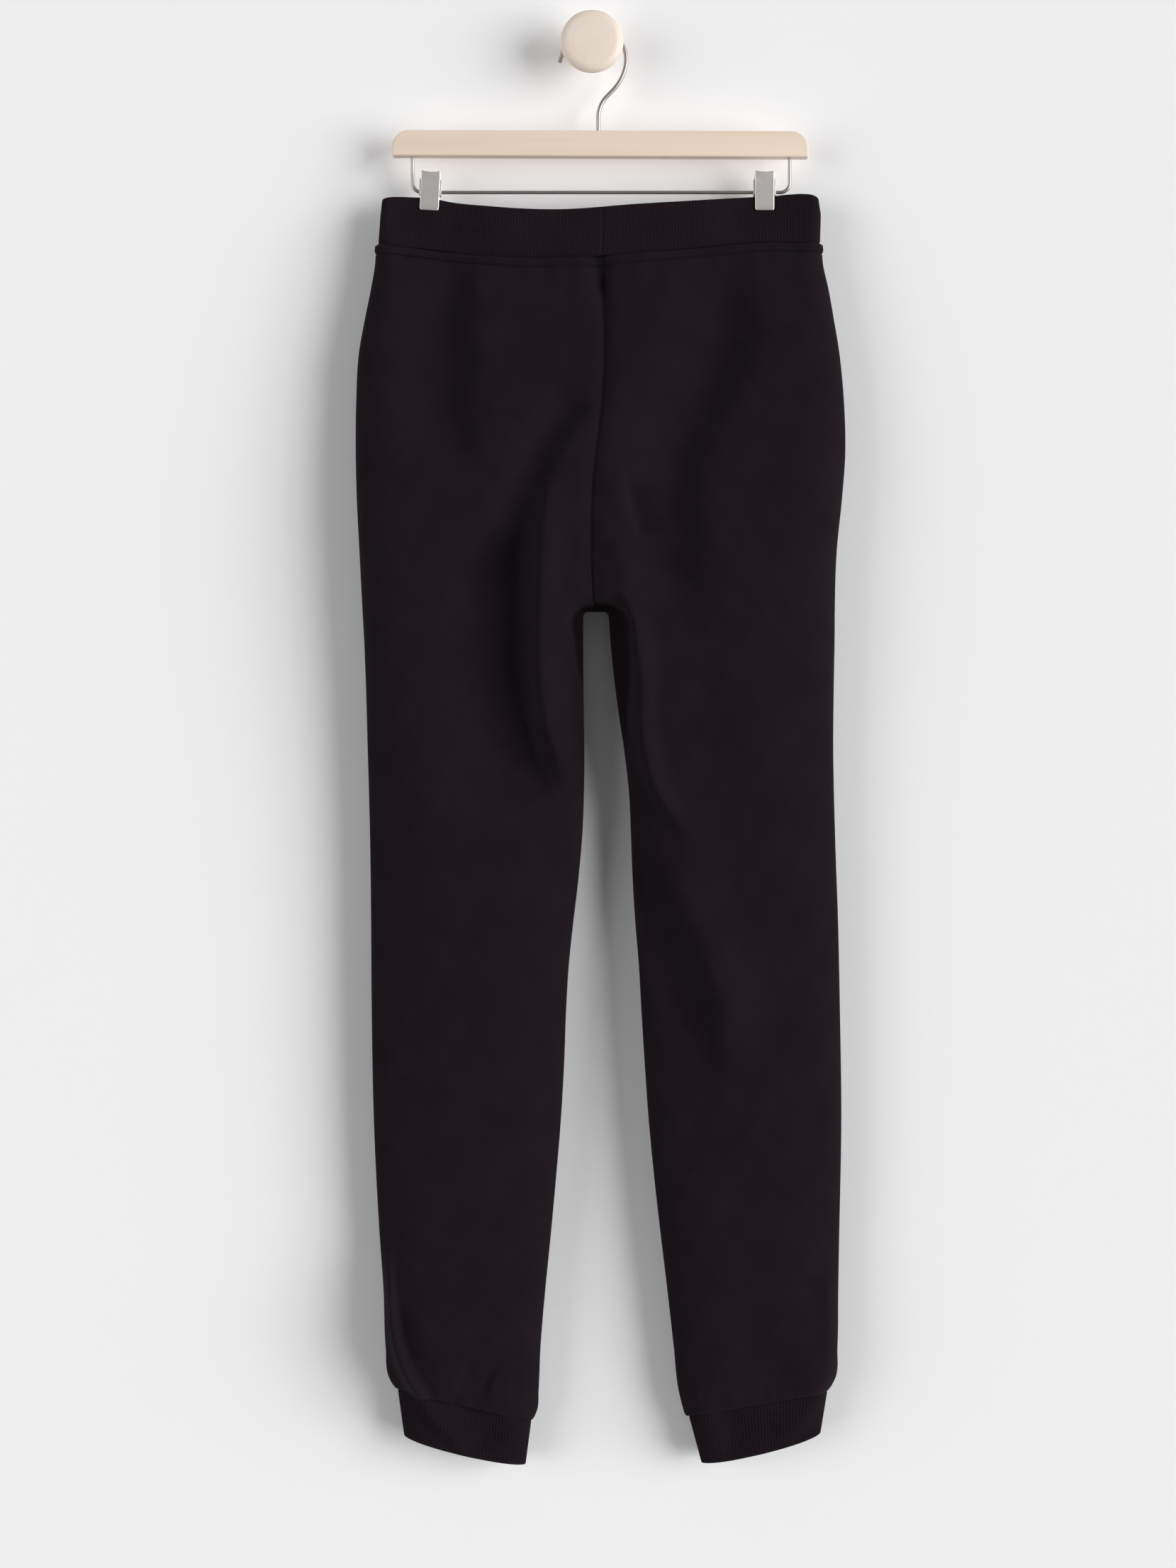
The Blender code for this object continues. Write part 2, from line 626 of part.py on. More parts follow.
def cloth_object(name, wall, finish, collection):
    """A closed wall of cloth: a grid and its extruded copy, set on the outer and the inner points."""
    outer, inner = wall
    rows, columns = outer.shape[0] - 1, outer.shape[1] - 1
    form = bmesh.new()
    bmesh.ops.create_grid(form, x_segments=columns, y_segments=rows, size=1.0)
    on_outer = list(form.verts)
    bmesh.ops.extrude_face_region(form, geom=form.faces[:], use_keep_orig=True)
    on_inner = set(form.verts) - set(on_outer)
    for points, verts in ((outer, on_outer), (inner, on_inner)):
        for vert in verts:
            across = round((vert.co.x + 1) / 2 * columns)
            down = round((vert.co.y + 1) / 2 * rows)
            vert.co = points[down, across] * MM
    return add_object(name, mesh_from(form, name), finish, collection)


def make_panels(cloth, collection):
    for face, face_name in ((BACK, "back"), (FRONT, "front")):
        for side, side_name in ((LEFT, "left"), (RIGHT, "right")):
            cloth_object(f"{face_name}_{side_name}_panel", panel_wall(face, side), cloth, collection)


def make_waistband(rib, collection):
    levels = column(BAND_LEVELS, "share")
    thickness = (DOUBLED_RIB - 1.0, DOUBLED_RIB, DOUBLED_RIB)
    middle_level = BAND_LEVELS[1]
    start = (CENTRE_BACK[-1].x - middle_level.left) / (middle_level.right - middle_level.left)
    wall = ring_wall(start, WAIST_RIBS, levels, band_surface, thickness, (0 * Z_AXIS, Z_AXIS), X_AXIS)
    cloth_object("waistband", wall, rib, collection)


def make_cuffs(rib, collection):
    for side, name in ((LEFT, "left_cuff"), (RIGHT, "right_cuff")):
        outline = CUFFS[side]
        rims = (
            across_line(outline.seam_outer, outline.seam_inner),
            across_line(outline.hem_outer, outline.hem_inner),
        )
        start = 1.0 if side == LEFT else 0.0
        thickness = (CUFF_RIB, CUFF_RIB)
        wall = ring_wall(start, CUFF_RIBS, (0.0, 1.0), cuff_surface(side), thickness, rims, Y_AXIS)
        cloth_object(name, wall, rib, collection)


def box(name, low, high, collection, finish=None):
    """A box between two corners."""
    low, high = np.array(low) * MM, np.array(high) * MM
    form = bmesh.new()
    bmesh.ops.create_cube(form, size=1.0)
    bmesh.ops.scale(form, vec=high - low, verts=form.verts)
    bmesh.ops.translate(form, vec=(low + high) / 2, verts=form.verts)
    return add_object(name, mesh_from(form, name), finish, collection)


def rod(name, start, end, radius, sides, collection):
    """A cylinder from one point to another, used as a cutter."""
    start, end = np.array(start) * MM, np.array(end) * MM
    axis = end - start
    form = bmesh.new()
    bmesh.ops.create_cone(
        form, cap_ends=True, segments=sides, radius1=radius * MM, radius2=radius * MM, depth=np.linalg.norm(axis)
    )
    made = add_object(name, mesh_from(form, name), None, collection)
    turn = math.pi / 2 if abs(axis[0]) > abs(axis[2]) else 0.0
    made.rotation_euler = (0.0, turn, 0.0)
    made.location = (start + end) / 2
    return made


def combine(target, operand, operation):
    step = target.modifiers.new(operation.lower(), "BOOLEAN")
    step.operation = operation
    step.object = operand
    return step


def hide_cutter(cutter, parent=None):
    cutter.hide_render = True
    cutter.display_type = "WIRE"
    if parent is not None:
        cutter.parent = parent


def wire(name, points, radius, finish, collection):
    """A round wire along a row of points."""
    curve = bpy.data.curves.new(name, "CURVE")
    curve.dimensions = "3D"
    curve.bevel_depth = radius * MM
    curve.bevel_resolution = 2
    curve.use_fill_caps = True
    spline = curve.splines.new("POLY")
    spline.points.add(len(points) - 1)
    for place, point in zip(spline.points, points):
        place.co = (*(np.array(point) * MM), 1.0)
    spline.use_smooth = True
    return add_object(name, curve, finish, collection)


def arc(centre, radius, start, end, count):
    """Points in the hanger's plane along an arc, angles in degrees from +X towards +Z."""
    angles = np.radians(np.linspace(start, end, count))
    return [
        (centre[0] + radius * math.cos(angle), PLANE_OF_HANGER, centre[1] + radius * math.sin(angle))
        for angle in angles
    ]


def make_knob(wood, collection):
    """The knob: a turned profile, from the middle of its domed face round the rim to its flat back."""
    rim_back = KNOB_NECK_LENGTH + 4.5
    profile = (
        (0.0, KNOB_LENGTH),
        (KNOB_RADIUS * 0.62, KNOB_LENGTH - 0.4),
        (KNOB_RADIUS - 3.6, KNOB_LENGTH - 1.6),
        (KNOB_RADIUS - 1.0, KNOB_LENGTH - 3.6),
        (KNOB_RADIUS, KNOB_LENGTH - 6.6),
        (KNOB_RADIUS - 0.4, rim_back + 1.0),
        (KNOB_RADIUS - 2.0, rim_back),
        (KNOB_NECK_RADIUS + 3.0, rim_back - 1.5),
        (KNOB_NECK_RADIUS, KNOB_NECK_LENGTH),
        (KNOB_NECK_RADIUS, 0.0),
        (0.0, 0.0),
    )
    form = bmesh.new()
    turned = [form.verts.new((radius * MM, 0.0, depth * MM)) for radius, depth in profile]
    for upper, lower in zip(turned, turned[1:]):
        form.edges.new((upper, lower))
    mesh = bpy.data.meshes.new("wall_knob")
    form.to_mesh(mesh)
    form.free()
    knob = add_object("wall_knob", mesh, wood, collection)
    knob.rotation_euler = (math.pi / 2, 0.0, 0.0)
    turn = knob.modifiers.new("turn", "SCREW")
    turn.axis = "Z"
    turn.steps = 28
    turn.render_steps = 28
    turn.use_merge_vertices = True
    turn.merge_threshold = 0.0001
    turn.use_smooth_shade = True


def hook_points():
    """The hook's route: a tip, the loop over the knob's neck, a wider arc, a straight run and a bend to the stem."""
    loop = (HOOK_LOOP_X, HOOK_LOOP_HEIGHT)
    over_neck = arc(loop, HOOK_LOOP_RADIUS, 172.0, HOOK_EASE_FROM, 16)
    tip = (over_neck[0][0] - 2.1, PLANE_OF_HANGER, over_neck[0][2] - 6.4)
    ease = math.radians(HOOK_EASE_FROM)
    widening = HOOK_EASE_RADIUS - HOOK_LOOP_RADIUS
    ease_centre = (loop[0] - widening * math.cos(ease), loop[1] - widening * math.sin(ease))
    wider = arc(ease_centre, HOOK_EASE_RADIUS, HOOK_EASE_FROM, HOOK_LEAVE, 5)
    bend_centre_x = HOOK_STEM_X + HOOK_LOWER_BEND
    run_start = wider[-1]
    lean = math.radians(-HOOK_LEAVE)
    bend_top_x = bend_centre_x - HOOK_LOWER_BEND * math.cos(lean)
    drop = (run_start[0] - bend_top_x) / math.tan(lean)
    bend_centre = (bend_centre_x, run_start[2] - drop - HOOK_LOWER_BEND * math.sin(lean))
    into_stem = arc(bend_centre, HOOK_LOWER_BEND, 180.0 + HOOK_LEAVE, 180.0, 5)
    stem_end = (HOOK_STEM_X, PLANE_OF_HANGER, BAR_TOP - WIRE_SEAT)
    return [tip, *over_neck, *wider[1:], *into_stem, stem_end]


def rail_points():
    """The rail's route: down from one hole in the bar, along under it, and up to the other."""
    top = BAR_TOP - BAR_HEIGHT + WIRE_SEAT
    left_bend = arc((RAIL_LEFT + RAIL_BEND, RAIL_HEIGHT + RAIL_BEND), RAIL_BEND, 180.0, 270.0, 5)
    right_bend = arc((RAIL_RIGHT - RAIL_BEND, RAIL_HEIGHT + RAIL_BEND), RAIL_BEND, 270.0, 360.0, 5)
    return [(RAIL_LEFT, PLANE_OF_HANGER, top), *left_bend, *right_bend, (RAIL_RIGHT, PLANE_OF_HANGER, top)]


def make_bar(wood, collection, cutters):
    """The wooden bar: a block with two large round top corners and softened edges, drilled for the wires."""
    form = bmesh.new()
    bmesh.ops.create_cube(form, size=1.0)
    bmesh.ops.scale(form, vec=(BAR_LENGTH * MM, BAR_DEPTH * MM, BAR_HEIGHT * MM), verts=form.verts)
    top_corners = [
        edge for edge in form.edges
        if all(vert.co.z > 0 for vert in edge.verts) and abs(edge.verts[0].co.x - edge.verts[1].co.x) < MM
    ]
    bmesh.ops.bevel(form, geom=top_corners, offset=BAR_CORNER * MM, segments=7, profile=0.5, affect="EDGES")
    rims = [edge for edge in form.edges if edge.calc_face_angle(0.0) > math.radians(60)]
    bmesh.ops.bevel(form, geom=rims, offset=BAR_EDGE * MM, segments=1, profile=0.5, affect="EDGES")
    bar = add_object("hanger_bar", mesh_from(form, "hanger_bar"), wood, collection)
    bar.location = (BAR_X * MM, PLANE_OF_HANGER * MM, (BAR_TOP - BAR_HEIGHT / 2) * MM)
    bar.rotation_euler = (0.0, BAR_TILT, 0.0)
    bar_bottom = BAR_TOP - BAR_HEIGHT
    seats = (
        (HOOK_STEM_X, BAR_TOP + 4.0, BAR_TOP - WIRE_SEAT - SEAM_GAP, HOOK_WIRE_RADIUS),
        (RAIL_LEFT, bar_bottom - 4.0, bar_bottom + WIRE_SEAT + SEAM_GAP, RAIL_WIRE_RADIUS),
        (RAIL_RIGHT, bar_bottom - 4.0, bar_bottom + WIRE_SEAT + SEAM_GAP, RAIL_WIRE_RADIUS),
    )
    for number, (x, mouth, bottom, wire_radius) in enumerate(seats):
        start, end = (x, PLANE_OF_HANGER, mouth), (x, PLANE_OF_HANGER, bottom)
        drill = rod(f"wire_seat_{number}", start, end, wire_radius + SEAM_GAP, 12, cutters)
        hide_cutter(drill)
        combine(bar, drill, "DIFFERENCE")


def jaw_profile(face):
    """A jaw's sheet from its flared top to its lip, as distance from the hanger's plane and height."""
    grip = JAW_PINCH + SEAM_GAP
    bends = (
        (grip + CLIP_FLARE, CLIP_TOP),
        (grip + CLIP_FLARE * 0.25, CLIP_EAR_TOP - 2.0),
        (grip, -1.0),
        (grip, CLIP_BOTTOM + 2.0),
        (grip + 0.5, CLIP_BOTTOM),
    )
    return [(face * away, height) for away, height in bends]


def make_jaw(clip, face, steel, collection, cutters, frame):
    """One jaw of a clip: a bent sheet with two ears that the rail passes through."""
    name = f"{clip.name}_{'front' if face == BACK else 'rear'}_jaw"
    profile = jaw_profile(face)
    form = bmesh.new()
    bmesh.ops.create_grid(form, x_segments=1, y_segments=len(profile) - 1, size=1.0)
    for vert in form.verts:
        y, height = profile[round((vert.co.y + 1) / 2 * (len(profile) - 1))]
        vert.co = (vert.co.x * CLIP_WIDTH / 2 * MM, y * MM, height * MM)
    jaw = add_object(name, mesh_from(form, name), steel, collection)
    sheet = jaw.modifiers.new("sheet", "SOLIDIFY")
    sheet.thickness = CLIP_SHEET * MM
    sheet.use_even_offset = True
    sheet.offset = 1.0 if jaw.data.polygons[0].normal.y * face > 0 else -1.0
    jaw.parent = frame
    outside = CLIP_WIDTH / 2 if face == BACK else CLIP_WIDTH / 2 + SEAM_GAP + CLIP_EAR
    root = JAW_PINCH + SEAM_GAP + 0.6
    if face == FRONT:
        strap = box(
            f"{name}_strap", (-outside, root, CLIP_EAR_BOTTOM), (outside, root + CLIP_SHEET, CLIP_EAR_TOP), cutters
        )
        hide_cutter(strap, frame)
        combine(jaw, strap, "UNION")
    for side in (LEFT, RIGHT):
        near, far = sorted((side * (outside - CLIP_EAR), side * outside))
        front, rear = sorted((face * root, -face * CLIP_EAR_REACH))
        ear = box(f"{name}_ear_{side}", (near, front, CLIP_EAR_BOTTOM), (far, rear, CLIP_EAR_TOP), cutters)
        hide_cutter(ear, frame)
        combine(jaw, ear, "UNION")
    drill = rod(f"{name}_hole", (-CLIP_WIDTH, 0, 0), (CLIP_WIDTH, 0, 0), clip.hole_radius, 12, cutters)
    hide_cutter(drill, frame)
    combine(jaw, drill, "DIFFERENCE")


def make_spring(clip, steel, collection, frame):
    """A clip's spring, as the plain sleeve that its coil fills, turned about the rail."""
    inside = RAIL_WIRE_RADIUS + SEAM_GAP
    half = CLIP_SPRING_LENGTH / 2
    corners = ((inside, half), (CLIP_SPRING_RADIUS, half), (CLIP_SPRING_RADIUS, -half), (inside, -half))
    form = bmesh.new()
    turned = [form.verts.new((radius * MM, 0.0, along * MM)) for radius, along in corners]
    for number, vert in enumerate(turned):
        form.edges.new((vert, turned[(number + 1) % len(turned)]))
    mesh = bpy.data.meshes.new(f"{clip.name}_spring")
    form.to_mesh(mesh)
    form.free()
    spring = add_object(f"{clip.name}_spring", mesh, steel, collection)
    spring.rotation_euler = (0.0, math.pi / 2, 0.0)
    spring.location = frame.location
    turn = spring.modifiers.new("turn", "SCREW")
    turn.axis = "Z"
    turn.steps = 12
    turn.render_steps = 12
    turn.use_merge_vertices = True
    turn.merge_threshold = 0.0001


def make_clip(clip, steel, collection, cutters):
    frame = bpy.data.objects.new(f"{clip.name}_frame", None)
    collection.objects.link(frame)
    frame.location = (clip.x * MM, PLANE_OF_HANGER * MM, RAIL_HEIGHT * MM)
    frame.rotation_euler = (0.0, clip.lean, 0.0)
    for face in (BACK, FRONT):
        make_jaw(clip, face, steel, collection, cutters, frame)
    make_spring(clip, steel, collection, frame)


def clear_scene():
    for old in list(bpy.data.objects):
        bpy.data.objects.remove(old, do_unlink=True)


def main():
    clear_scene()
    collection = bpy.data.collections.new("joggers_on_hanger")
    cutters = bpy.data.collections.new("cutters")
    for group in (collection, cutters):
        bpy.context.scene.collection.children.link(group)
    cloth = material("black_sweat_cloth", (0.0137, 0.0110, 0.0137), 0.95)
    rib = material("black_rib_knit", (0.0125, 0.0100, 0.0122), 0.95)
    pale_wood = material("pale_wood", (0.78, 0.65, 0.53), 0.5)
    steel = material("satin_steel", (0.52, 0.50, 0.47), 0.35, metallic=1.0)
    make_panels(cloth, collection)
    make_waistband(rib, collection)
    make_cuffs(rib, collection)
    make_knob(pale_wood, collection)
    make_bar(pale_wood, collection, cutters)
    wire("hanger_hook", hook_points(), HOOK_WIRE_RADIUS, steel, collection)
    wire("hanger_rail", rail_points(), RAIL_WIRE_RADIUS, steel, collection)
    for clip in CLIPS:
        make_clip(clip, steel, collection, cutters)


main()
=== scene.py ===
"""Black sweat joggers on a clip hanger: the finished look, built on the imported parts.

Z is up, the wall is the plane y = 0, and the viewer stands on the side of -Y and sees the
garment's back. Left and right are the viewer's. Sizes and tables are in millimetres, as a maker
states them, and every point is turned to metres when it goes into a mesh.
"""
import logging
import math
from collections.abc import Callable, Sequence
from dataclasses import dataclass, field
from enum import Enum, IntEnum
from typing import NamedTuple

import bmesh
import bpy
import numpy as np
from mathutils import Matrix, Vector


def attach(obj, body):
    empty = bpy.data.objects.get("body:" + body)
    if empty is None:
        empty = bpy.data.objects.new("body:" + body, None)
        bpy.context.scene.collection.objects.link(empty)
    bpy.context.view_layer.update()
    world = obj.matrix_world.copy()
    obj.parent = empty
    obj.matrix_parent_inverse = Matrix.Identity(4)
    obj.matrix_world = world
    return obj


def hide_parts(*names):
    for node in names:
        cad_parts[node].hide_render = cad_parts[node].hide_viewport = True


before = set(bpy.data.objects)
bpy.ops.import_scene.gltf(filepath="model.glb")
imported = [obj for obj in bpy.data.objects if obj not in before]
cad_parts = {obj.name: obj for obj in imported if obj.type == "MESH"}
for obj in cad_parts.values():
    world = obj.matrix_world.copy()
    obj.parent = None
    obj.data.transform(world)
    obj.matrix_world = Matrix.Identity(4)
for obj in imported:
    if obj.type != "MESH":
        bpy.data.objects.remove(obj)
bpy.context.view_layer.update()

MM = 0.001
BODY = "root"
CLOTH_UV = "cloth"
NODE_SPACING = 220
# How squarely a folded cloth's side is rounded, and how much of a folded edge's roll is shown.
FOLD_POWER = 2.5
FOLD_ROLL = 0.92
TINY = 1e-9
# The y of the hanger's middle plane, the height of its rail, and the width of a clip's jaws.
HANGER_PLANE = -26.5
RAIL_HEIGHT = -125.4
JAW_WIDTH = 16.2
X_AXIS, Y_AXIS, Z_AXIS = np.eye(3)

Array = np.ndarray
Curve = Callable[[Array], Array]
Colour = tuple[float, float, float]
Pair = tuple[Array, Array]
Surface = tuple[Array, Array, Array, Array]

log = logging.getLogger("joggers")


class Sign(IntEnum):
    """A choice between the two ways along an axis; the value is the sign."""

    @property
    def word(self) -> str:
        """Gives the choice as it stands in the names of nodes."""
        return self.name.lower()


class Side(Sign):
    """The viewer's left or right, along X."""

    LEFT = -1
    RIGHT = 1


class Face(Sign):
    """The garment's back, which the viewer sees, or its front, along Y."""

    BACK = -1
    FRONT = 1


class Slot(Enum):
    """The record's material slots."""

    CLOTH = "sweat_cloth"
    RIB = "rib_knit"
    WOOD = "pale_wood"
    STEEL = "satin_steel"


CLIP_PLACES: dict[Side, float] = {Side.LEFT: -136.8, Side.RIGHT: 146.0}


class Point(NamedTuple):
    """A point of a line on the garment, seen from the back."""

    x: float
    height: float


class Section(NamedTuple):
    """The garment at one height: its outer edges, how far it swells, and its middle plane.

    The swell reaches half_depth at edge_width from an outer edge, and at gap_width from the gap
    between the legs.
    """

    height: float
    left_outer: float
    right_outer: float
    half_depth: float
    edge_width: float
    gap_width: float
    middle: float


class LegEdges(NamedTuple):
    """A measure beside the gap between the legs at one height, for the left and the right leg."""

    height: float
    left: float
    right: float


class BandEnd(NamedTuple):
    """The waistband's outer shape at one share of its height, from its top edge to its seam."""

    share: float
    left: float
    right: float
    half_depth: float
    edge_width: float


class CuffOutline(NamedTuple):
    """A cuff's four corners seen from the back, at the seam to the leg and at the hem."""

    seam_outer: Point
    seam_inner: Point
    hem_outer: Point
    hem_inner: Point


class Crease(NamedTuple):
    """A soft ridge, or a trough where the rise is negative, along a line of points.

    The two widths are those of its left and its right flank for a viewer, on a line that runs
    downwards.
    """

    rise: float
    left: float
    right: float
    line: tuple[Point, ...]


class Wave(NamedTuple):
    """One long, low wave of the cloth: its height, length, direction in degrees and phase."""

    height: float
    length: float
    direction: float
    phase: float


def table(kind: type[NamedTuple], *rows: tuple) -> tuple:
    """Makes a table: one row of its kind for each tuple of values."""
    return tuple(kind(*row) for row in rows)


def points(*places: tuple[float, float]) -> tuple[Point, ...]:
    """Makes a line of points from plain pairs of x and height."""
    return table(Point, *places)


def crease_table(*rows: tuple) -> tuple[Crease, ...]:
    """Makes creases, each from a row of its rise, its two widths and the points of its line."""
    return tuple(Crease(*row[:3], points(*row[3:])) for row in rows)


def column(rows: Sequence[NamedTuple], name: str) -> list[float]:
    """Lists one field of a table's rows."""
    return [getattr(row, name) for row in rows]


def smooth_curve(places: Sequence[float], values: Sequence[float]) -> Curve:
    """Makes a smooth curve through a table's points, level beyond its ends.

    Args:
        places: Where the points lie along the curve, in any order.
        values: The curve's value at each of them.

    Returns:
        A function that reads the curve.
    """
    order = np.argsort(places)
    knots = np.asarray(places, float)[order]
    heights = np.asarray(values, float)[order]
    slopes = np.gradient(heights, knots)

    def read(where: Array) -> Array:
        """Reads the curve.

        Args:
            where: One or more places along it.

        Returns:
            Its value at each of them.
        """
        where = np.clip(where, knots[0], knots[-1])
        piece = np.clip(np.searchsorted(knots, where) - 1, 0, len(knots) - 2)
        width = knots[piece + 1] - knots[piece]
        part = (where - knots[piece]) / width
        rest = 1 - part
        start = heights[piece] * (1 + 2 * part) * rest**2 + slopes[piece] * width * part * rest**2
        end = heights[piece + 1] * part**2 * (3 - 2 * part)
        return start + end - slopes[piece + 1] * width * part**2 * rest

    return read


def by_height(rows: Sequence[NamedTuple], name: str) -> Curve:
    """Makes the smooth curve of one field of a table over its heights."""
    return smooth_curve(column(rows, "height"), column(rows, name))


def smooth_step(part: Array) -> Array:
    """Rises smoothly from 0 at 0 to 1 at 1."""
    part = np.clip(part, 0.0, 1.0)
    return part * part * (3 - 2 * part)


def rounded(part: Array) -> Array:
    """Rises from 0 to 1 as the side of a folded cloth does: upright at the fold, then flat."""
    return np.sqrt(1 - (1 - np.clip(part, 0.0, 1.0)) ** FOLD_POWER)


def folded_edge(distance: Array, radius: float) -> Array:
    """Gives how far a face rolls in at a folded edge, by the distance from the edge."""
    inside = 1 - np.clip(distance / radius, 0.0, 1.0)
    return radius * (1 - np.sqrt(np.maximum(1 - inside**2, 0.0))) * FOLD_ROLL


def bell(distance: Array, width: float | Array) -> Array:
    """Falls from 1 at no distance to nothing, softly, over about twice a width."""
    return np.exp(-((distance / width) ** 2))


def travelled(grid: Array, axis: int) -> Array:
    """Measures how far each point of a grid lies along its column (axis 0) or its row (axis 1)."""
    steps = np.linalg.norm(np.diff(grid, axis=axis), axis=-1)
    return np.insert(np.cumsum(steps, axis=axis), 0, 0.0, axis=axis)


def outward(grid: Array, middle: Array) -> Array:
    """Works out the directions that point out of a cloth's outer face.

    Args:
        grid: Rows and columns of points on the face.
        middle: The y of the garment's middle plane at each of them.

    Returns:
        A unit vector at each point.
    """
    normals = np.cross(np.gradient(grid, axis=1), np.gradient(grid, axis=0))
    out = np.sign(np.sum(normals[..., 1] * (grid[..., 1] - middle)))
    return out * normals / np.linalg.norm(normals, axis=-1, keepdims=True)


def without(vectors: Array, direction: Array) -> Array:
    """Takes the part along one direction out of some vectors, and makes them unit vectors again."""
    flat = vectors - (vectors @ direction)[..., None] * direction
    return flat / np.maximum(np.linalg.norm(flat, axis=-1, keepdims=True), TINY)


def across_line(start: Point, end: Point) -> Array:
    """Gives the upward unit vector at right angles to a line on the garment's outline.

    Args:
        start: One end of the line.
        end: Its other end.

    Returns:
        The vector, in the plane of X and Z.
    """
    run, rise = end.x - start.x, end.height - start.height
    length = math.copysign(math.hypot(run, rise), run)
    return np.array((-rise / length, 0.0, run / length))


class Graph:
    """Adds nodes to one shader tree."""

    def __init__(self, tree: bpy.types.NodeTree) -> None:
        """Starts on a tree; the next node goes to the left end of it."""
        self.tree = tree
        self.count = 0

    def add(
        self, kind: str, settings: dict[str, object] | None = None, **values: object
    ) -> bpy.types.Node:
        """Adds a node.

        Args:
            kind: The node's type without "ShaderNode" in front, or a group end's whole type.
            settings: Its own properties, by name.
            **values: Its inputs, as in set.

        Returns:
            The node.
        """
        node = self.tree.nodes.new(kind if kind.startswith("Node") else f"ShaderNode{kind}")
        node.location = (NODE_SPACING * self.count, 0)
        self.count += 1
        for name, value in (settings or {}).items():
            setattr(node, name, value)
        return self.set(node, **values)

    def set(self, node: bpy.types.Node, **values: object) -> bpy.types.Node:
        """Sets a node's inputs.

        Args:
            node: The node.
            **values: Its inputs, by name with "_" for a space or as "i" and a number: a socket
                that feeds one, or a constant.

        Returns:
            The node.
        """
        for name, value in values.items():
            key = int(name[1:]) if name[1:].isdigit() else name.replace("_", " ")
            if isinstance(value, bpy.types.NodeSocket):
                self.tree.links.new(value, node.inputs[key])
            else:
                node.inputs[key].default_value = value
        return node

    def math(self, operation: str, *terms: object) -> bpy.types.NodeSocket:
        """Adds a calculation with up to three values and gives its result."""
        inputs = {f"i{index}": term for index, term in enumerate(terms)}
        return self.add("Math", {"operation": operation}, **inputs).outputs[0]

    def object_place(self, stretch: object = None) -> bpy.types.NodeSocket:
        """Adds the object's own coordinates.

        Args:
            stretch: What they are multiplied by along each axis, if by anything.

        Returns:
            The coordinates' socket.
        """
        place = self.add("TexCoord").outputs["Object"]
        if stretch is None:
            return place
        return self.add("VectorMath", {"operation": "MULTIPLY"}, i0=place, i1=stretch).outputs[0]

    def noise(
        self, place: bpy.types.NodeSocket, scale: object, detail: float, roughness: float = 0.5
    ) -> bpy.types.NodeSocket:
        """Adds a noise and gives its value."""
        values = {"Vector": place, "Scale": scale, "Detail": detail, "Roughness": roughness}
        return self.add("TexNoise", **values).outputs[0]

    def blend(self, share: object, first: object, second: object) -> bpy.types.NodeSocket:
        """Adds a mix of two colours and gives it."""
        values = {"i0": share, "i6": first, "i7": second}
        return self.add("Mix", {"data_type": "RGBA"}, **values).outputs[2]


class Socket(NamedTuple):
    """An input or output of a group of nodes."""

    name: str
    kind: str = "NodeSocketFloat"
    value: object = None


def new_group(
    name: str, inputs: Sequence[Socket], outputs: Sequence[Socket]
) -> tuple[Graph, dict[str, bpy.types.NodeSocket], bpy.types.Node]:
    """Starts a group of shader nodes.

    Args:
        name: The group's name.
        inputs: Its inputs, with their usual values.
        outputs: Its outputs.

    Returns:
        The graph to build in, the inputs' sockets by name, and the node that takes the results.
    """
    tree = bpy.data.node_groups.new(name, "ShaderNodeTree")
    for direction, sockets in (("INPUT", inputs), ("OUTPUT", outputs)):
        for socket in sockets:
            made = tree.interface.new_socket(
                name=socket.name, in_out=direction, socket_type=socket.kind
            )
            if socket.value is not None:
                made.default_value = socket.value
    graph = Graph(tree)
    entry, result = graph.add("NodeGroupInput"), graph.add("NodeGroupOutput")
    return graph, {socket.name: entry.outputs[socket.name] for socket in inputs}, result


def knit_group() -> bpy.types.NodeTree:
    """Makes the relief of a knitted, brushed face: fine wales along the cloth, and fuzz over them.

    Returns:
        The group. Height is the relief, and Shade the slight unevenness of the dye, which goes
        from about 0 to 1.
    """
    graph, entry, result = new_group("knit_relief", (
        Socket("Wale Width", value=0.0009),
        Socket("Course Height", value=0.0013),
        Socket("Fuzz", value=0.6),
    ), (Socket("Height"), Socket("Shade")))
    parts = graph.add("SeparateXYZ", Vector=graph.add("UVMap", {"uv_map": CLOTH_UV}).outputs[0])
    waves = []
    for axis, size in enumerate(("Wale Width", "Course Height")):
        turns = graph.math("DIVIDE", parts.outputs[axis], entry[size])
        waves.append(graph.math("SINE", graph.math("MULTIPLY", turns, math.tau)))
    knit = graph.math("MULTIPLY_ADD", graph.math("MULTIPLY", *waves), 0.25, 0.5)
    body = graph.object_place()
    fuzz, clumps = graph.noise(body, 900.0, 3.0, 0.6), graph.noise(body, 160.0, 2.0)
    loose = graph.math("MULTIPLY", graph.math("ADD", fuzz, clumps), entry["Fuzz"])
    speckle = graph.math("MULTIPLY", graph.math("SUBTRACT", fuzz, 0.5), 0.8)
    shade = graph.math("ADD", graph.noise(body, 26.0, 4.0, 0.55), speckle)
    graph.set(result, Height=graph.math("ADD", knit, loose), Shade=shade)
    return graph.tree


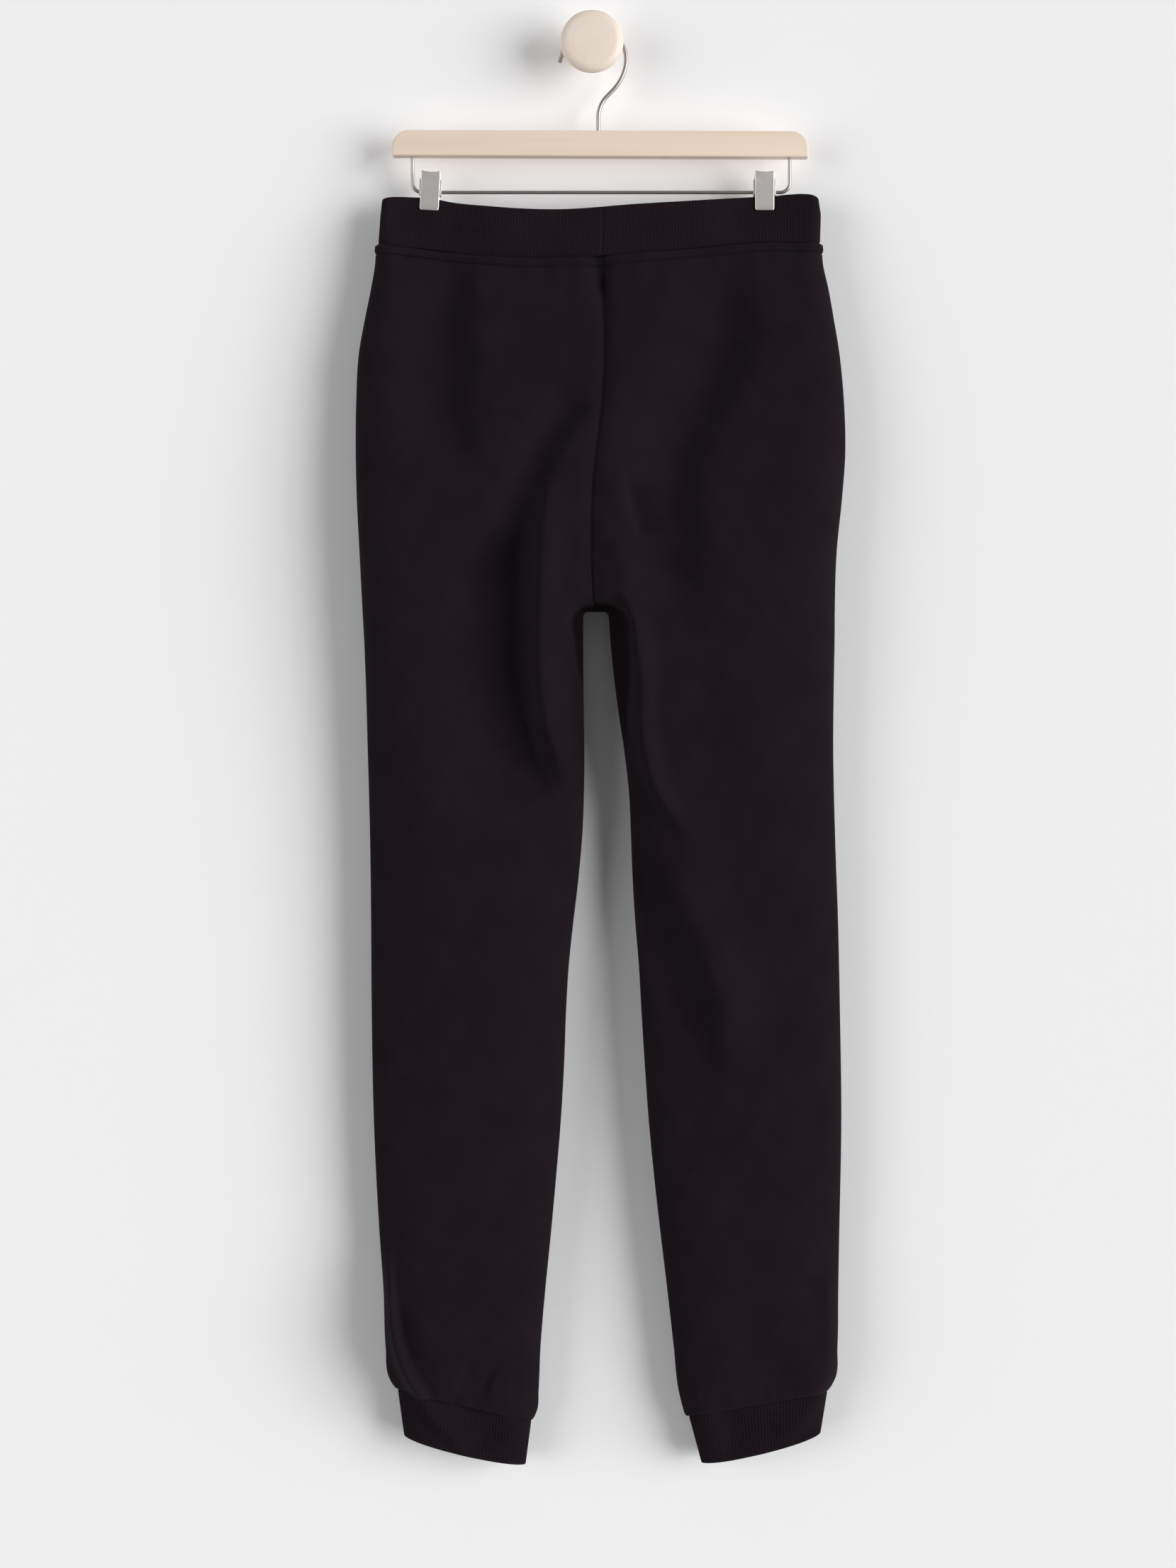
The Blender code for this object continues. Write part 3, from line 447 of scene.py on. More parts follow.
def wood_group() -> bpy.types.NodeTree:
    """Makes the grain of a pale, fine hardwood.

    Returns:
        The group. Color is the wood's colour and Height the depth of its pores.
    """
    graph, entry, result = new_group("wood_grain", (
        Socket("Grain Scale", "NodeSocketVector", (6.0, 220.0, 220.0)),
        Socket("Light Wood", "NodeSocketColor", (0.80, 0.67, 0.55, 1.0)),
        Socket("Dark Wood", "NodeSocketColor", (0.70, 0.55, 0.43, 1.0)),
    ), (Socket("Color", "NodeSocketColor"), Socket("Height")))
    body = graph.object_place(entry["Grain Scale"])
    fibres, broad = graph.noise(body, 1.0, 5.0, 0.62), graph.noise(body, 0.13, 2.0)
    mix = graph.math(
        "ADD", graph.math("MULTIPLY", fibres, 0.45), graph.math("MULTIPLY", broad, 0.55)
    )
    share = graph.add("MapRange", Value=mix, From_Min=0.36, From_Max=0.68).outputs[0]
    wood = graph.blend(share, entry["Light Wood"], entry["Dark Wood"])
    graph.set(result, Color=wood, Height=fibres)
    return graph.tree


def satin_group() -> bpy.types.NodeTree:
    """Makes the fine, uneven grinding of plated steel.

    Returns:
        The group. Roughness is the shader's, and Height the marks of the grinding.
    """
    graph, entry, result = new_group("satin_plating", (
        Socket("Mark Scale", "NodeSocketVector", (500.0, 500.0, 4000.0)),
        Socket("Least Roughness", value=0.22),
        Socket("Most Roughness", value=0.36),
    ), (Socket("Roughness"), Socket("Height")))
    marks = graph.noise(graph.object_place(entry["Mark Scale"]), 1.0, 3.0)
    rough = graph.add(
        "MapRange", Value=marks, From_Min=0.3, From_Max=0.7,
        To_Min=entry["Least Roughness"], To_Max=entry["Most Roughness"],
    )
    graph.set(result, Roughness=rough.outputs[0], Height=marks)
    return graph.tree


def paint_group() -> bpy.types.NodeTree:
    """Makes the faint stipple that a roller leaves in wall paint.

    Returns:
        The group, with the stipple's Height.
    """
    inputs = (Socket("Stipple Scale", value=350.0),)
    graph, entry, result = new_group("rolled_paint", inputs, (Socket("Height"),))
    graph.set(result, Height=graph.noise(graph.object_place(), entry["Stipple Scale"], 2.0))
    return graph.tree


class Nodes(NamedTuple):
    """A material's nodes while it is made: its graph, its shader and its effect's group node."""

    graph: Graph
    shader: bpy.types.Node
    effect: bpy.types.Node


@dataclass(frozen=True)
class Finish:
    """A finish with one Principled shader; each kind of finish dresses it in its own way."""

    name: str
    colour: Colour
    roughness: float
    metallic: float = 0.0
    specular: float = 0.5
    relief: float = 0.0001
    strength: float = 0.5

    def make(self, group: bpy.types.NodeTree) -> bpy.types.Material:
        """Makes the material.

        Args:
            group: The effect's group of nodes.

        Returns:
            The material, dressed.
        """
        made = bpy.data.materials.new(self.name)
        made.use_nodes = True
        made.diffuse_color = (*self.colour, 1.0)
        graph = Graph(made.node_tree)
        effect = graph.add("Group", {"node_tree": group})
        height = effect.outputs["Height"]
        bump = graph.add("Bump", Strength=self.strength, Distance=self.relief, Height=height)
        shader = graph.set(
            made.node_tree.nodes["Principled BSDF"], Base_Color=(*self.colour, 1.0),
            Roughness=self.roughness, Metallic=self.metallic, Specular_IOR_Level=self.specular,
            Normal=bump.outputs[0],
        )
        self.dress(Nodes(graph, shader, effect))
        return made

    def dress(self, nodes: Nodes) -> None:
        """Joins what varies to the shader; a plain finish has nothing more."""


@dataclass(frozen=True)
class ClothFinish(Finish):
    """Matte black knitted cotton: a soft fuzz that catches light at the edges, and uneven dye."""

    sheen: float = 0.02
    sheen_roughness: float = 0.6
    worn: Colour = (0.0134, 0.0092, 0.0122)
    least_shade: float = 0.25
    most_shade: float = 0.85
    wale: float = 0.0009
    course: float = 0.0013

    def dress(self, nodes: Nodes) -> None:
        """Adds the sheen and the uneven dye.

        Args:
            nodes: The material's nodes.
        """
        graph, shader, effect = nodes
        graph.set(effect, Wale_Width=self.wale, Course_Height=self.course)
        share = graph.add(
            "MapRange", Value=effect.outputs["Shade"],
            From_Min=self.least_shade, From_Max=self.most_shade,
        )
        dye = graph.blend(share.outputs[0], (*self.colour, 1.0), (*self.worn, 1.0))
        graph.set(
            shader, Base_Color=dye, Sheen_Weight=self.sheen, Sheen_Roughness=self.sheen_roughness
        )


@dataclass(frozen=True)
class WoodFinish(Finish):
    """Pale hardwood under a thin satin varnish."""

    grain: tuple[float, float, float] = (6.0, 220.0, 220.0)
    dark: Colour = (0.755, 0.61, 0.49)
    coat: float = 0.15
    coat_roughness: float = 0.35

    def dress(self, nodes: Nodes) -> None:
        """Adds the grain's colours and the varnish.

        Args:
            nodes: The material's nodes.
        """
        graph, shader, effect = nodes
        light, dark = (*self.colour, 1.0), (*self.dark, 1.0)
        graph.set(effect, Grain_Scale=self.grain, Light_Wood=light, Dark_Wood=dark)
        graph.set(
            shader, Base_Color=effect.outputs["Color"], Coat_Weight=self.coat,
            Coat_Roughness=self.coat_roughness,
        )


@dataclass(frozen=True)
class SteelFinish(Finish):
    """Satin nickel on steel."""

    marks: tuple[float, float, float] = (500.0, 500.0, 4000.0)
    spread: float = 0.12

    def dress(self, nodes: Nodes) -> None:
        """Adds the marks of the grinding.

        Args:
            nodes: The material's nodes.
        """
        graph, shader, effect = nodes
        graph.set(
            effect, Mark_Scale=self.marks, Least_Roughness=self.roughness,
            Most_Roughness=self.roughness + self.spread,
        )
        graph.set(shader, Roughness=effect.outputs["Roughness"])


@dataclass(frozen=True)
class StageFinish(Finish):
    """Matte paint that a viewer behind the wall, or under the floor, sees through."""

    def dress(self, nodes: Nodes) -> None:
        """Makes the paint's back see-through.

        Args:
            nodes: The material's nodes.
        """
        graph, shader, _ = nodes
        behind = graph.add("NewGeometry").outputs["Backfacing"]
        clear = graph.add("BsdfTransparent").outputs[0]
        mixed = graph.add("MixShader", i0=behind, i1=shader.outputs[0], i2=clear)
        graph.set(graph.tree.nodes["Material Output"], Surface=mixed.outputs[0])


def add_object(name: str, data: bpy.types.ID) -> bpy.types.Object:
    """Puts a mesh, a light or a camera into the scene.

    Args:
        name: The object's name.
        data: What it shows.

    Returns:
        The object.
    """
    made = bpy.data.objects.new(name, data)
    bpy.context.scene.collection.objects.link(made)
    return made


@dataclass
class Workshop:
    """Makes the materials, and adds finished pieces to the scene."""

    finishes: dict[Slot, bpy.types.Material] = field(init=False)
    knob_wood: bpy.types.Material = field(init=False)
    wire: bpy.types.Material = field(init=False)

    def __post_init__(self) -> None:
        """Makes a material for each of the record's slots, and those of the knob and the wires."""
        knit, wood, satin = knit_group(), wood_group(), satin_group()
        cloth = {"roughness": 0.95, "specular": 0.03}
        sweat = ClothFinish("black_sweat_cloth", (0.0104, 0.0064, 0.0091), relief=0.00022, **cloth)
        rib = ClothFinish(
            "black_rib_knit", (0.0104, 0.0057, 0.0083), relief=0.00018, course=0.0011, **cloth
        )
        turned = {"relief": 0.00004, "strength": 0.3}
        bar = WoodFinish("pale_wood", (0.80, 0.665, 0.55), 0.48, **turned)
        knob = WoodFinish(
            "pale_wood_end_grain", (0.80, 0.70, 0.61), 0.5,
            grain=(240.0, 8.0, 240.0), dark=(0.76, 0.645, 0.55), **turned,
        )
        plate = SteelFinish(
            "satin_nickel_plate", (0.74, 0.71, 0.69), 0.42,
            metallic=1.0, relief=0.000004, strength=0.1,
        )
        # The wires are the same satin nickel as the plates, with a darker colour: painted shade
        # that stands in for the dark room that they reflect.
        wire = SteelFinish(
            "satin_nickel_wire", (0.40, 0.38, 0.36), 0.34,
            metallic=1.0, relief=0.000001, strength=0.02,
        )
        self.finishes = {
            Slot.CLOTH: sweat.make(knit),
            Slot.RIB: rib.make(knit),
            Slot.WOOD: bar.make(wood),
            Slot.STEEL: plate.make(satin),
        }
        self.knob_wood = knob.make(wood)
        self.wire = wire.make(satin)

    def add(
        self, name: str, mesh: bpy.types.Mesh, slot: Slot, replaces: Sequence[str] = (),
        finish: bpy.types.Material | None = None,
    ) -> bpy.types.Object:
        """Adds a piece, which rides on the one body.

        Args:
            name: The piece's name.
            mesh: Its mesh.
            slot: The record's slot that its finish stands for.
            replaces: The CAD nodes that it stands for.
            finish: Its material, where it isn't the slot's usual one.

        Returns:
            The piece.
        """
        mesh.materials.clear()
        mesh.materials.append(finish or self.finishes[slot])
        made = add_object(name, mesh)
        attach(made, BODY)
        if replaces:
            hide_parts(*replaces)
        log.info("%s: %d faces", name, len(mesh.polygons))
        return made


def mesh_from(form: bmesh.types.BMesh, name: str, sharp: float) -> bpy.types.Mesh:
    """Turns a bmesh into a smoothly shaded mesh with its faces pointing out.

    Args:
        form: The bmesh, which is freed.
        name: The mesh's name.
        sharp: The angle in degrees from which an edge stays sharp.

    Returns:
        The mesh.
    """
    bmesh.ops.recalc_face_normals(form, faces=form.faces)
    if form.calc_volume(signed=True) < 0:
        bmesh.ops.reverse_faces(form, faces=form.faces)
    mesh = bpy.data.meshes.new(name)
    form.to_mesh(mesh)
    form.free()
    mesh.shade_smooth()
    mesh.set_sharp_from_angle(angle=math.radians(sharp))
    return mesh


def soften(
    form: bmesh.types.BMesh, edges: list[bmesh.types.BMEdge], radius: float, steps: int
) -> None:
    """Rounds some edges.

    Args:
        form: What they belong to.
        edges: The edges.
        radius: How large the round is, in millimetres.
        steps: How many faces lie across it.
    """
    bmesh.ops.bevel(
        form, geom=edges, offset=radius * MM, segments=steps, profile=0.5, affect="EDGES",
        material=-1,
    )


def cloth_mesh(name: str, outer: Array, inner: Array) -> bpy.types.Mesh:
    """Makes a closed wall of cloth: a grid and its extruded copy, laid on two grids of points.

    Args:
        name: The mesh's name.
        outer: Rows and columns of points on the outer face, in millimetres.
        inner: The same on the inner face.

    Returns:
        The mesh, with a UV map that measures the cloth in metres.
    """
    rows, columns = outer.shape[0] - 1, outer.shape[1] - 1
    form = bmesh.new()
    bmesh.ops.create_grid(form, x_segments=columns, y_segments=rows, size=1.0)
    bmesh.ops.extrude_face_region(form, geom=form.faces[:], use_keep_orig=True)
    plan = np.array([vert.co.xy for vert in form.verts])
    across = np.rint((plan[:, 0] + 1) / 2 * columns).astype(int)
    down = np.rint((plan[:, 1] + 1) / 2 * rows).astype(int)
    on_outer = np.arange(len(plan)) < outer.shape[0] * outer.shape[1]
    places = np.where(on_outer[:, None], outer[down, across], inner[down, across]) * MM
    for vert, place in zip(form.verts, places):
        vert.co = place
    mesh = mesh_from(form, name, sharp=62.0)
    measured = np.stack([travelled(outer, 1), -travelled(outer, 0)], axis=-1) * MM
    corners = np.empty(len(mesh.loops), np.int32)
    mesh.loops.foreach_get("vertex_index", corners)
    layer = mesh.uv_layers.new(name=CLOTH_UV)
    layer.data.foreach_set("uv", measured[down, across][corners].ravel().astype(np.float32))
    return mesh


def wire_mesh(
    name: str, route: Sequence[Sequence[float]], radius: float, smoothness: int,
    sharp: float = 50.0,
) -> bpy.types.Mesh:
    """Makes a round wire along a row of points.

    Args:
        name: The mesh's name.
        route: The wire's middle line, in millimetres.
        radius: Its radius in millimetres.
        smoothness: How finely its round is drawn.
        sharp: The angle in degrees from which an edge stays sharp, as at its ends.

    Returns:
        The wire's mesh, with its two ends closed.
    """
    curve = bpy.data.curves.new(name, "CURVE")
    curve.dimensions = "3D"
    curve.bevel_depth = radius * MM
    curve.bevel_resolution = smoothness
    curve.use_fill_caps = True
    spline = curve.splines.new("POLY")
    spline.points.add(len(route) - 1)
    for place, point in zip(spline.points, route):
        place.co = (*(np.array(point) * MM), 1.0)
    spline.use_smooth = True
    bare = bpy.data.objects.new(name, curve)
    mesh = bpy.data.meshes.new_from_object(bare)
    mesh.name = name
    bpy.data.objects.remove(bare)
    bpy.data.curves.remove(curve)
    mesh.set_sharp_from_angle(angle=math.radians(sharp))
    return mesh


class Gather(NamedTuple):
    """Small puckers beside a seam to rib: their pitch, its drift, and how they start and fade."""

    pitch: float
    drift: float
    drift_length: float
    start: float
    reach: float

    def rise(self, x: Array, away: Array) -> Array:
        """Gives their rise, from -1 to 1, by the place across and the distance from the seam."""
        pucker = np.sin(x / self.pitch + self.drift * np.sin(x / self.drift_length))
        return pucker * smooth_step(away / self.start) * np.exp(-away / self.reach)


@dataclass
class Garment:
    """The garment's outer form: its outline from the back, and its swell from a middle plane.

    The inseams are the places of the gap's two edges. The tucks are how wide each leg's inner
    edge lies tucked in under a lip beside the gap.
    """

    crotch: Point = Point(2.1, -480.9)
    crotch_corner: float = 4.0
    crotch_ease: float = 12.0
    seam_gap: float = 0.3
    band_bottom: float = -142.0
    band_ease: float = 40.0
    least_swell: float = 3.2
    jaw_pinch: float = 4.3
    jaw_reach: float = 45.0
    jaw_clearance: float = 1.5
    jaw_bottom: float = -142.4
    crease_steps: int = 25
    crease_start: float = 0.25
    crease_fade: float = 14.0
    crease_taper: float = 0.3
    centre_valley: float = 3.0
    centre_valley_width: float = 7.0
    tuck_depth: float = 0.85
    tuck_lip: float = 4.5
    gather_height: float = 0.55
    waist_gather: Gather = Gather(3.1, 1.3, 19.0, 9.0, 22.0)
    cuff_gather: Gather = Gather(2.3, 1.6, 13.0, 5.0, 16.0)
    cuff_gather_top: Point = Point(15.0, -1140.0)
    cuff_gather_slope: float = 0.12
    sections: tuple[Section, ...] = table(
        Section,
        (-172.5, -183.0, 195.0, 13.2, 16, 24, -27.5), (-184.5, -183.4, 195.4, 14.4, 18, 24, -28.0),
        (-208.5, -187.2, 200.4, 16.5, 24, 24, -28.5), (-232.5, -192.0, 204.6, 18.5, 30, 24, -29.0),
        (-262.5, -197.2, 209.4, 20.5, 36, 24, -29.8), (-304.5, -199.4, 213.2, 23.0, 44, 24, -31.0),
        (-346.5, -199.7, 214.2, 25.0, 50, 24, -32.2), (-382.5, -198.8, 211.6, 26.5, 54, 24, -33.4),
        (-430.5, -196.4, 206.8, 27.0, 58, 24, -33.8), (-480.9, -193.8, 205.2, 27.0, 62, 24, -33.8),
        (-502.5, -192.6, 205.1, 27.0, 66, 28, -33.6), (-532.5, -191.4, 204.6, 26.5, 70, 38, -33.2),
        (-598.5, -189.6, 204.1, 25.5, 80, 60, -32.2), (-670.5, -187.8, 205.8, 24.5, 86, 76, -31.2),
        (-742.5, -187.0, 208.4, 23.5, 86, 82, -30.2), (-814.5, -186.6, 210.0, 22.8, 84, 82, -29.4),
        (-910.5, -184.8, 211.3, 22.0, 80, 78, -28.6), (-1006.5, -180.0, 209.6, 21.0, 72, 70, -27.6),
        (-1054.5, -176.6, 208.8, 20.0, 66, 64, -26.8),
        (-1102.5, -175.0, 208.2, 18.6, 60, 58, -25.6),
        (-1129.0, -172.0, 206.4, 17.2, 52, 52, -24.6),
        (-1138.0, -167.2, 202.0, 16.6, 48, 48, -24.2),
        (-1164.0, -165.0, 200.0, 16.0, 46, 46, -23.4),
        (-1204.0, -159.0, 193.0, 15.6, 40, 40, -22.6),
    )
    inseams: tuple[LegEdges, ...] = table(
        LegEdges,
        (-484.9, -7.2, 14.0), (-502.5, -7.2, 15.2), (-532.5, -6.9, 18.0), (-562.5, -6.6, 21.6),
        (-598.5, -6.0, 27.0), (-634.5, -6.3, 31.0), (-670.5, -7.8, 32.6), (-706.5, -11.0, 34.0),
        (-742.5, -15.2, 36.2), (-778.5, -19.0, 39.2), (-814.5, -21.2, 41.2), (-862.5, -23.0, 44.2),
        (-910.5, -25.8, 47.6), (-958.5, -29.8, 52.2), (-1006.5, -34.2, 57.6),
        (-1054.5, -39.0, 63.4), (-1102.5, -43.0, 68.8), (-1140.0, -44.6, 73.0),
        (-1156.0, -45.8, 77.0), (-1164.0, -49.2, 79.6),
    )
    waist_seam_line: tuple[Point, ...] = points(
        (-183, -170.1), (-141, -174.9), (-93, -180.4), (-52, -182.4), (9, -180.6), (57, -176.9),
        (99, -172.9), (145, -168.9), (195, -169.6),
    )
    waist_top_line: tuple[Point, ...] = points(
        (-181, -131.6), (-168, -130.0), (-150, -130.0), (-136.8, -130.6), (-118, -134.4),
        (-84, -138.3), (-31, -140.7), (41, -135.9), (100, -132.4), (135, -129.8), (152, -129.1),
        (164, -127.8), (186, -128.3), (194, -130.4),
    )
    centre_back: tuple[Point, ...] = points(
        (2.1, -480.9), (-0.3, -442), (-0.2, -400), (1.0, -370), (3.6, -345), (8.4, -306),
        (10.8, -262), (10.2, -212), (9.4, -150), (9.4, -120),
    )
    centre_front: tuple[Point, ...] = points((2.1, -480.9), (4.2, -320), (6.0, -150))
    tucks: tuple[LegEdges, ...] = table(
        LegEdges,
        (-466.0, -6.0, -6.0), (-482.0, 8.0, 14.0), (-510.0, 7.5, 17.0), (-536.0, 4.0, 15.0),
        (-562.0, -6.0, 10.0), (-600.0, -6.0, 3.0), (-628.0, -6.0, -6.0),
    )
    creases: dict[Face, tuple[Crease, ...]] = field(default_factory=lambda: {
        Face.BACK: crease_table(
            (-14.0, 36, 18, (-118, -172), (-124, -248), (-120, -278), (-124, -304), (-112, -366)),
            (-15.0, 34, 22, (112, -172), (110, -244), (94, -296), (76, -332),
             (66, -390), (68, -448), (74, -510)),
            (-12.0, 20, 9, (0, -298), (-22, -318), (-40, -350),
             (-54, -388), (-64, -425), (-70, -462)),
            (-23.0, 48, 12, (-62, -412), (-66, -470), (-66, -530), (-56, -590), (-37, -638)),
            (9.5, 5, 15, (-34, -376), (-42, -428), (-45, -502), (-44, -575), (-30, -634)),
            (-6.5, 4, 14, (32, -372), (38, -398), (44, -418)),
            (3.0, 9, 4, (22, -366), (26, -394), (33, -414)),
            (6.0, 12, 12, (18, -420), (34, -460)),
            (13.0, 6, 11, (26, -462), (35, -490), (41, -535), (41, -576),
             (47, -611), (57, -637), (80, -668)),
            (-10.0, 16, 14, (30, -636), (33, -680), (40, -720), (54, -760), (74, -802), (94, -846)),
            (9.0, 13, 22, (60, -690), (76, -726), (98, -768), (112, -816), (112, -880)),
            (-6.0, 8, 5, (2, -178), (5, -192), (9, -216)),
            (17.0, 6, 5, (-173, -1020), (-170, -1074), (-163, -1106), (-149, -1134), (-131, -1162)),
            (-4.0, 22, 22, (-112, -1122), (-84, -1134)),
            (8.0, 26, 6, (203, -1100), (197, -1128), (184, -1150)),
            (4.5, 9, 9, (198, -1036), (203, -1070), (202, -1110)),
        ),
        Face.FRONT: crease_table(
            (-8.0, 20, 26, (-92, -174), (-86, -250), (-92, -340)),
            (-9.0, 26, 20, (104, -174), (98, -262), (86, -330), (92, -410)),
            (-11.0, 14, 18, (-4, -396), (-34, -440), (-76, -476)),
            (-10.0, 18, 14, (12, -390), (50, -436), (92, -470)),
            (2.0, 12, 14, (-20, -440), (-44, -484), (-50, -560)),
            (-9.0, 26, 20, (-118, -540), (-104, -640), (-92, -750)),
            (-9.0, 20, 26, (122, -720), (108, -820), (116, -920)),
            (2.5, 14, 20, (84, -520), (96, -600), (92, -680)),
            (-7.0, 20, 18, (-130, -840), (-108, -930), (-112, -1010)),
            (-5.0, 16, 16, (-134, -1124), (-88, -1138)),
            (-5.0, 16, 16, (150, -1126), (112, -1140)),
        ),
    })
    waves: tuple[Wave, ...] = table(
        Wave,
        (0.40, 74, 12, 0.4), (0.30, 52, 118, 2.1), (0.26, 41, 64, 4.4), (0.20, 30, 155, 1.2),
        (0.16, 23, 34, 5.3), (0.12, 17, 92, 3.0),
    )
    front_wave_turn: float = 40.0

    def __post_init__(self) -> None:
        """Turns the tables into smooth curves."""
        self.outer_edge = {side: by_height(self.sections, f"{side.word}_outer") for side in Side}
        self.inner_edge = {side: by_height(self.inseams, side.word) for side in Side}
        self.tuck_width = {side: by_height(self.tucks, side.word) for side in Side}
        self.half_depth, self.edge_width, self.gap_width, self.plain_middle = (
            by_height(self.sections, name)
            for name in ("half_depth", "edge_width", "gap_width", "middle")
        )
        self.centre = {
            Face.BACK: by_height(self.centre_back, "x"),
            Face.FRONT: by_height(self.centre_front, "x"),
        }
        self.waist_seam, self.waist_top = (
            smooth_curve(column(line, "x"), column(line, "height"))
            for line in (self.waist_seam_line, self.waist_top_line)
        )

    def middle(self, height: Array) -> Array:
        """Gives the y of the side seams' plane: the hanger's at the band, the sections' below."""
        into_garment = smooth_step((self.band_bottom - height) / self.band_ease)
        return HANGER_PLANE + (self.plain_middle(height) - HANGER_PLANE) * into_garment

    def from_gap(self, side: Side, x: Array, height: Array) -> Array:
        """Works out how far points lie from the gap between the legs, whose top corners are round.

        Args:
            side: The half that the points lie in.
            x: Where they lie across the garment.
            height: Their heights.

        Returns:
            The distance of each.
        """
        corner_x = self.inner_edge[side](height) - side * self.crotch_corner
        sideways = np.maximum(0.0, side * (x - corner_x))
        upwards = np.maximum(0.0, height - (self.crotch.height - self.crotch_corner))
        return np.maximum(0.0, np.hypot(sideways, upwards) - self.crotch_corner)

    def pinched(self, swell: Array, x: Array, height: Array) -> Array:
        """Brings the cloth in to the jaws' grip round each clip.

        Args:
            swell: How far it stands from the middle plane elsewhere.
            x: Where the points lie across the garment.
            height: Their heights.

        Returns:
            How far it stands at each point.
        """
        for place in CLIP_PLACES.values():
            sideways = np.maximum(0.0, np.abs(x - place) - JAW_WIDTH / 2 - self.jaw_clearance)
            below = np.maximum(0.0, self.jaw_bottom - height)
            grip = 1 - smooth_step(np.hypot(sideways, below) / self.jaw_reach)
            swell = swell + (np.minimum(swell, self.jaw_pinch) - swell) * grip
        return swell

    def crease_rise(self, crease: Crease, x: Array, height: Array) -> Array:
        """Works out how far one crease pushes the cloth out.

        Args:
            crease: The crease.
            x: Where the points lie across the garment.
            height: Their heights.

        Returns:
            Its rise at each point.
        """
        shares = np.linspace(0, 1, len(crease.line))
        steps = np.linspace(0, 1, self.crease_steps)
        curves = (smooth_curve(shares, column(crease.line, name)) for name in Point._fields)
        line = np.stack([curve(steps) for curve in curves], axis=-1)
        nearest = np.full(np.shape(x), np.inf)
        share, width = np.zeros(np.shape(x)), np.zeros(np.shape(x))
        for start, end, first, last in zip(line, line[1:], steps, steps[1:]):
            along = end - start
            part = ((x - start[0]) * along[0] + (height - start[1]) * along[1]) / (along @ along)
            part = np.clip(part, 0, 1)
            from_x = x - start[0] - part * along[0]
            from_height = height - start[1] - part * along[1]
            away = np.hypot(from_x, from_height)
            nearer = away < nearest
            to_right = along[0] * from_height - along[1] * from_x
            flanks = np.hypot(*along) * (crease.left + crease.right)
            turn = smooth_step(0.5 + to_right / flanks)
            share = np.where(nearer, first + part * (last - first), share)
            width = np.where(nearer, crease.left + (crease.right - crease.left) * turn, width)
            nearest = np.minimum(nearest, away)
        from_end = np.minimum(share, 1 - share)
        taper = smooth_step(from_end / self.crease_taper + self.crease_start)
        return crease.rise * taper * bell(nearest, width)

    def gathers(self, x: Array, height: Array) -> Array:
        """Works out the small puckers where the cloth is sewn to rib, at the waist and the cuffs.

        Args:
            x: Where the points lie across the garment.
            height: Their heights.

        Returns:
            Their rise at each point.
        """
        below_waist = np.maximum(0.0, self.waist_seam(x) - height)
        slope = self.cuff_gather_slope * np.abs(x - self.cuff_gather_top.x)
        above_cuffs = np.maximum(0.0, height - self.cuff_gather_top.height + slope)
        rise = self.waist_gather.rise(x, below_waist) + self.cuff_gather.rise(x, above_cuffs)
        return self.gather_height * rise

    def swell(self, face: Face, side: Side, x: Array, height: Array) -> Array:
        """Works out how far the cloth's outer face stands from the middle plane.

        Args:
            face: The garment's back or front.
            side: The half that the points lie in.
            x: Where they lie across the garment.
            height: Their heights.

        Returns:
            The distance at each point.
        """
        from_edge = side * (self.outer_edge[side](height) - x)
        plain = self.half_depth(height) * rounded(from_edge / self.edge_width(height))
        from_gap = self.from_gap(side, x, height)
        plain = plain * rounded(from_gap / self.gap_width(height))
        if face is Face.BACK:
            under_lip = (self.tuck_width[side](height) - from_gap) / self.tuck_lip
            plain = plain * (1 - self.tuck_depth * smooth_step(under_lip + 0.5))
        plain = self.pinched(plain, x, height)
        moved = sum(self.crease_rise(crease, x, height) for crease in self.creases[face])
        turn = self.front_wave_turn if face is Face.FRONT else 0
        for wave in self.waves:
            angle = math.radians(wave.direction + turn)
            along = (x * math.cos(angle) + height * math.sin(angle)) * math.tau / wave.length
            moved = moved + wave.height * np.sin(along + wave.phase)
        moved = moved + self.gathers(x, height)
        above_crotch = smooth_step((height - self.crotch.height) / self.crotch_ease)
        at_centre = bell(x - self.centre[face](height), self.centre_valley_width)
        moved = moved - self.centre_valley * above_crotch * at_centre
        bulged = plain + moved * smooth_step(plain / self.crease_fade)
        return np.maximum(bulged, np.minimum(plain, self.least_swell))


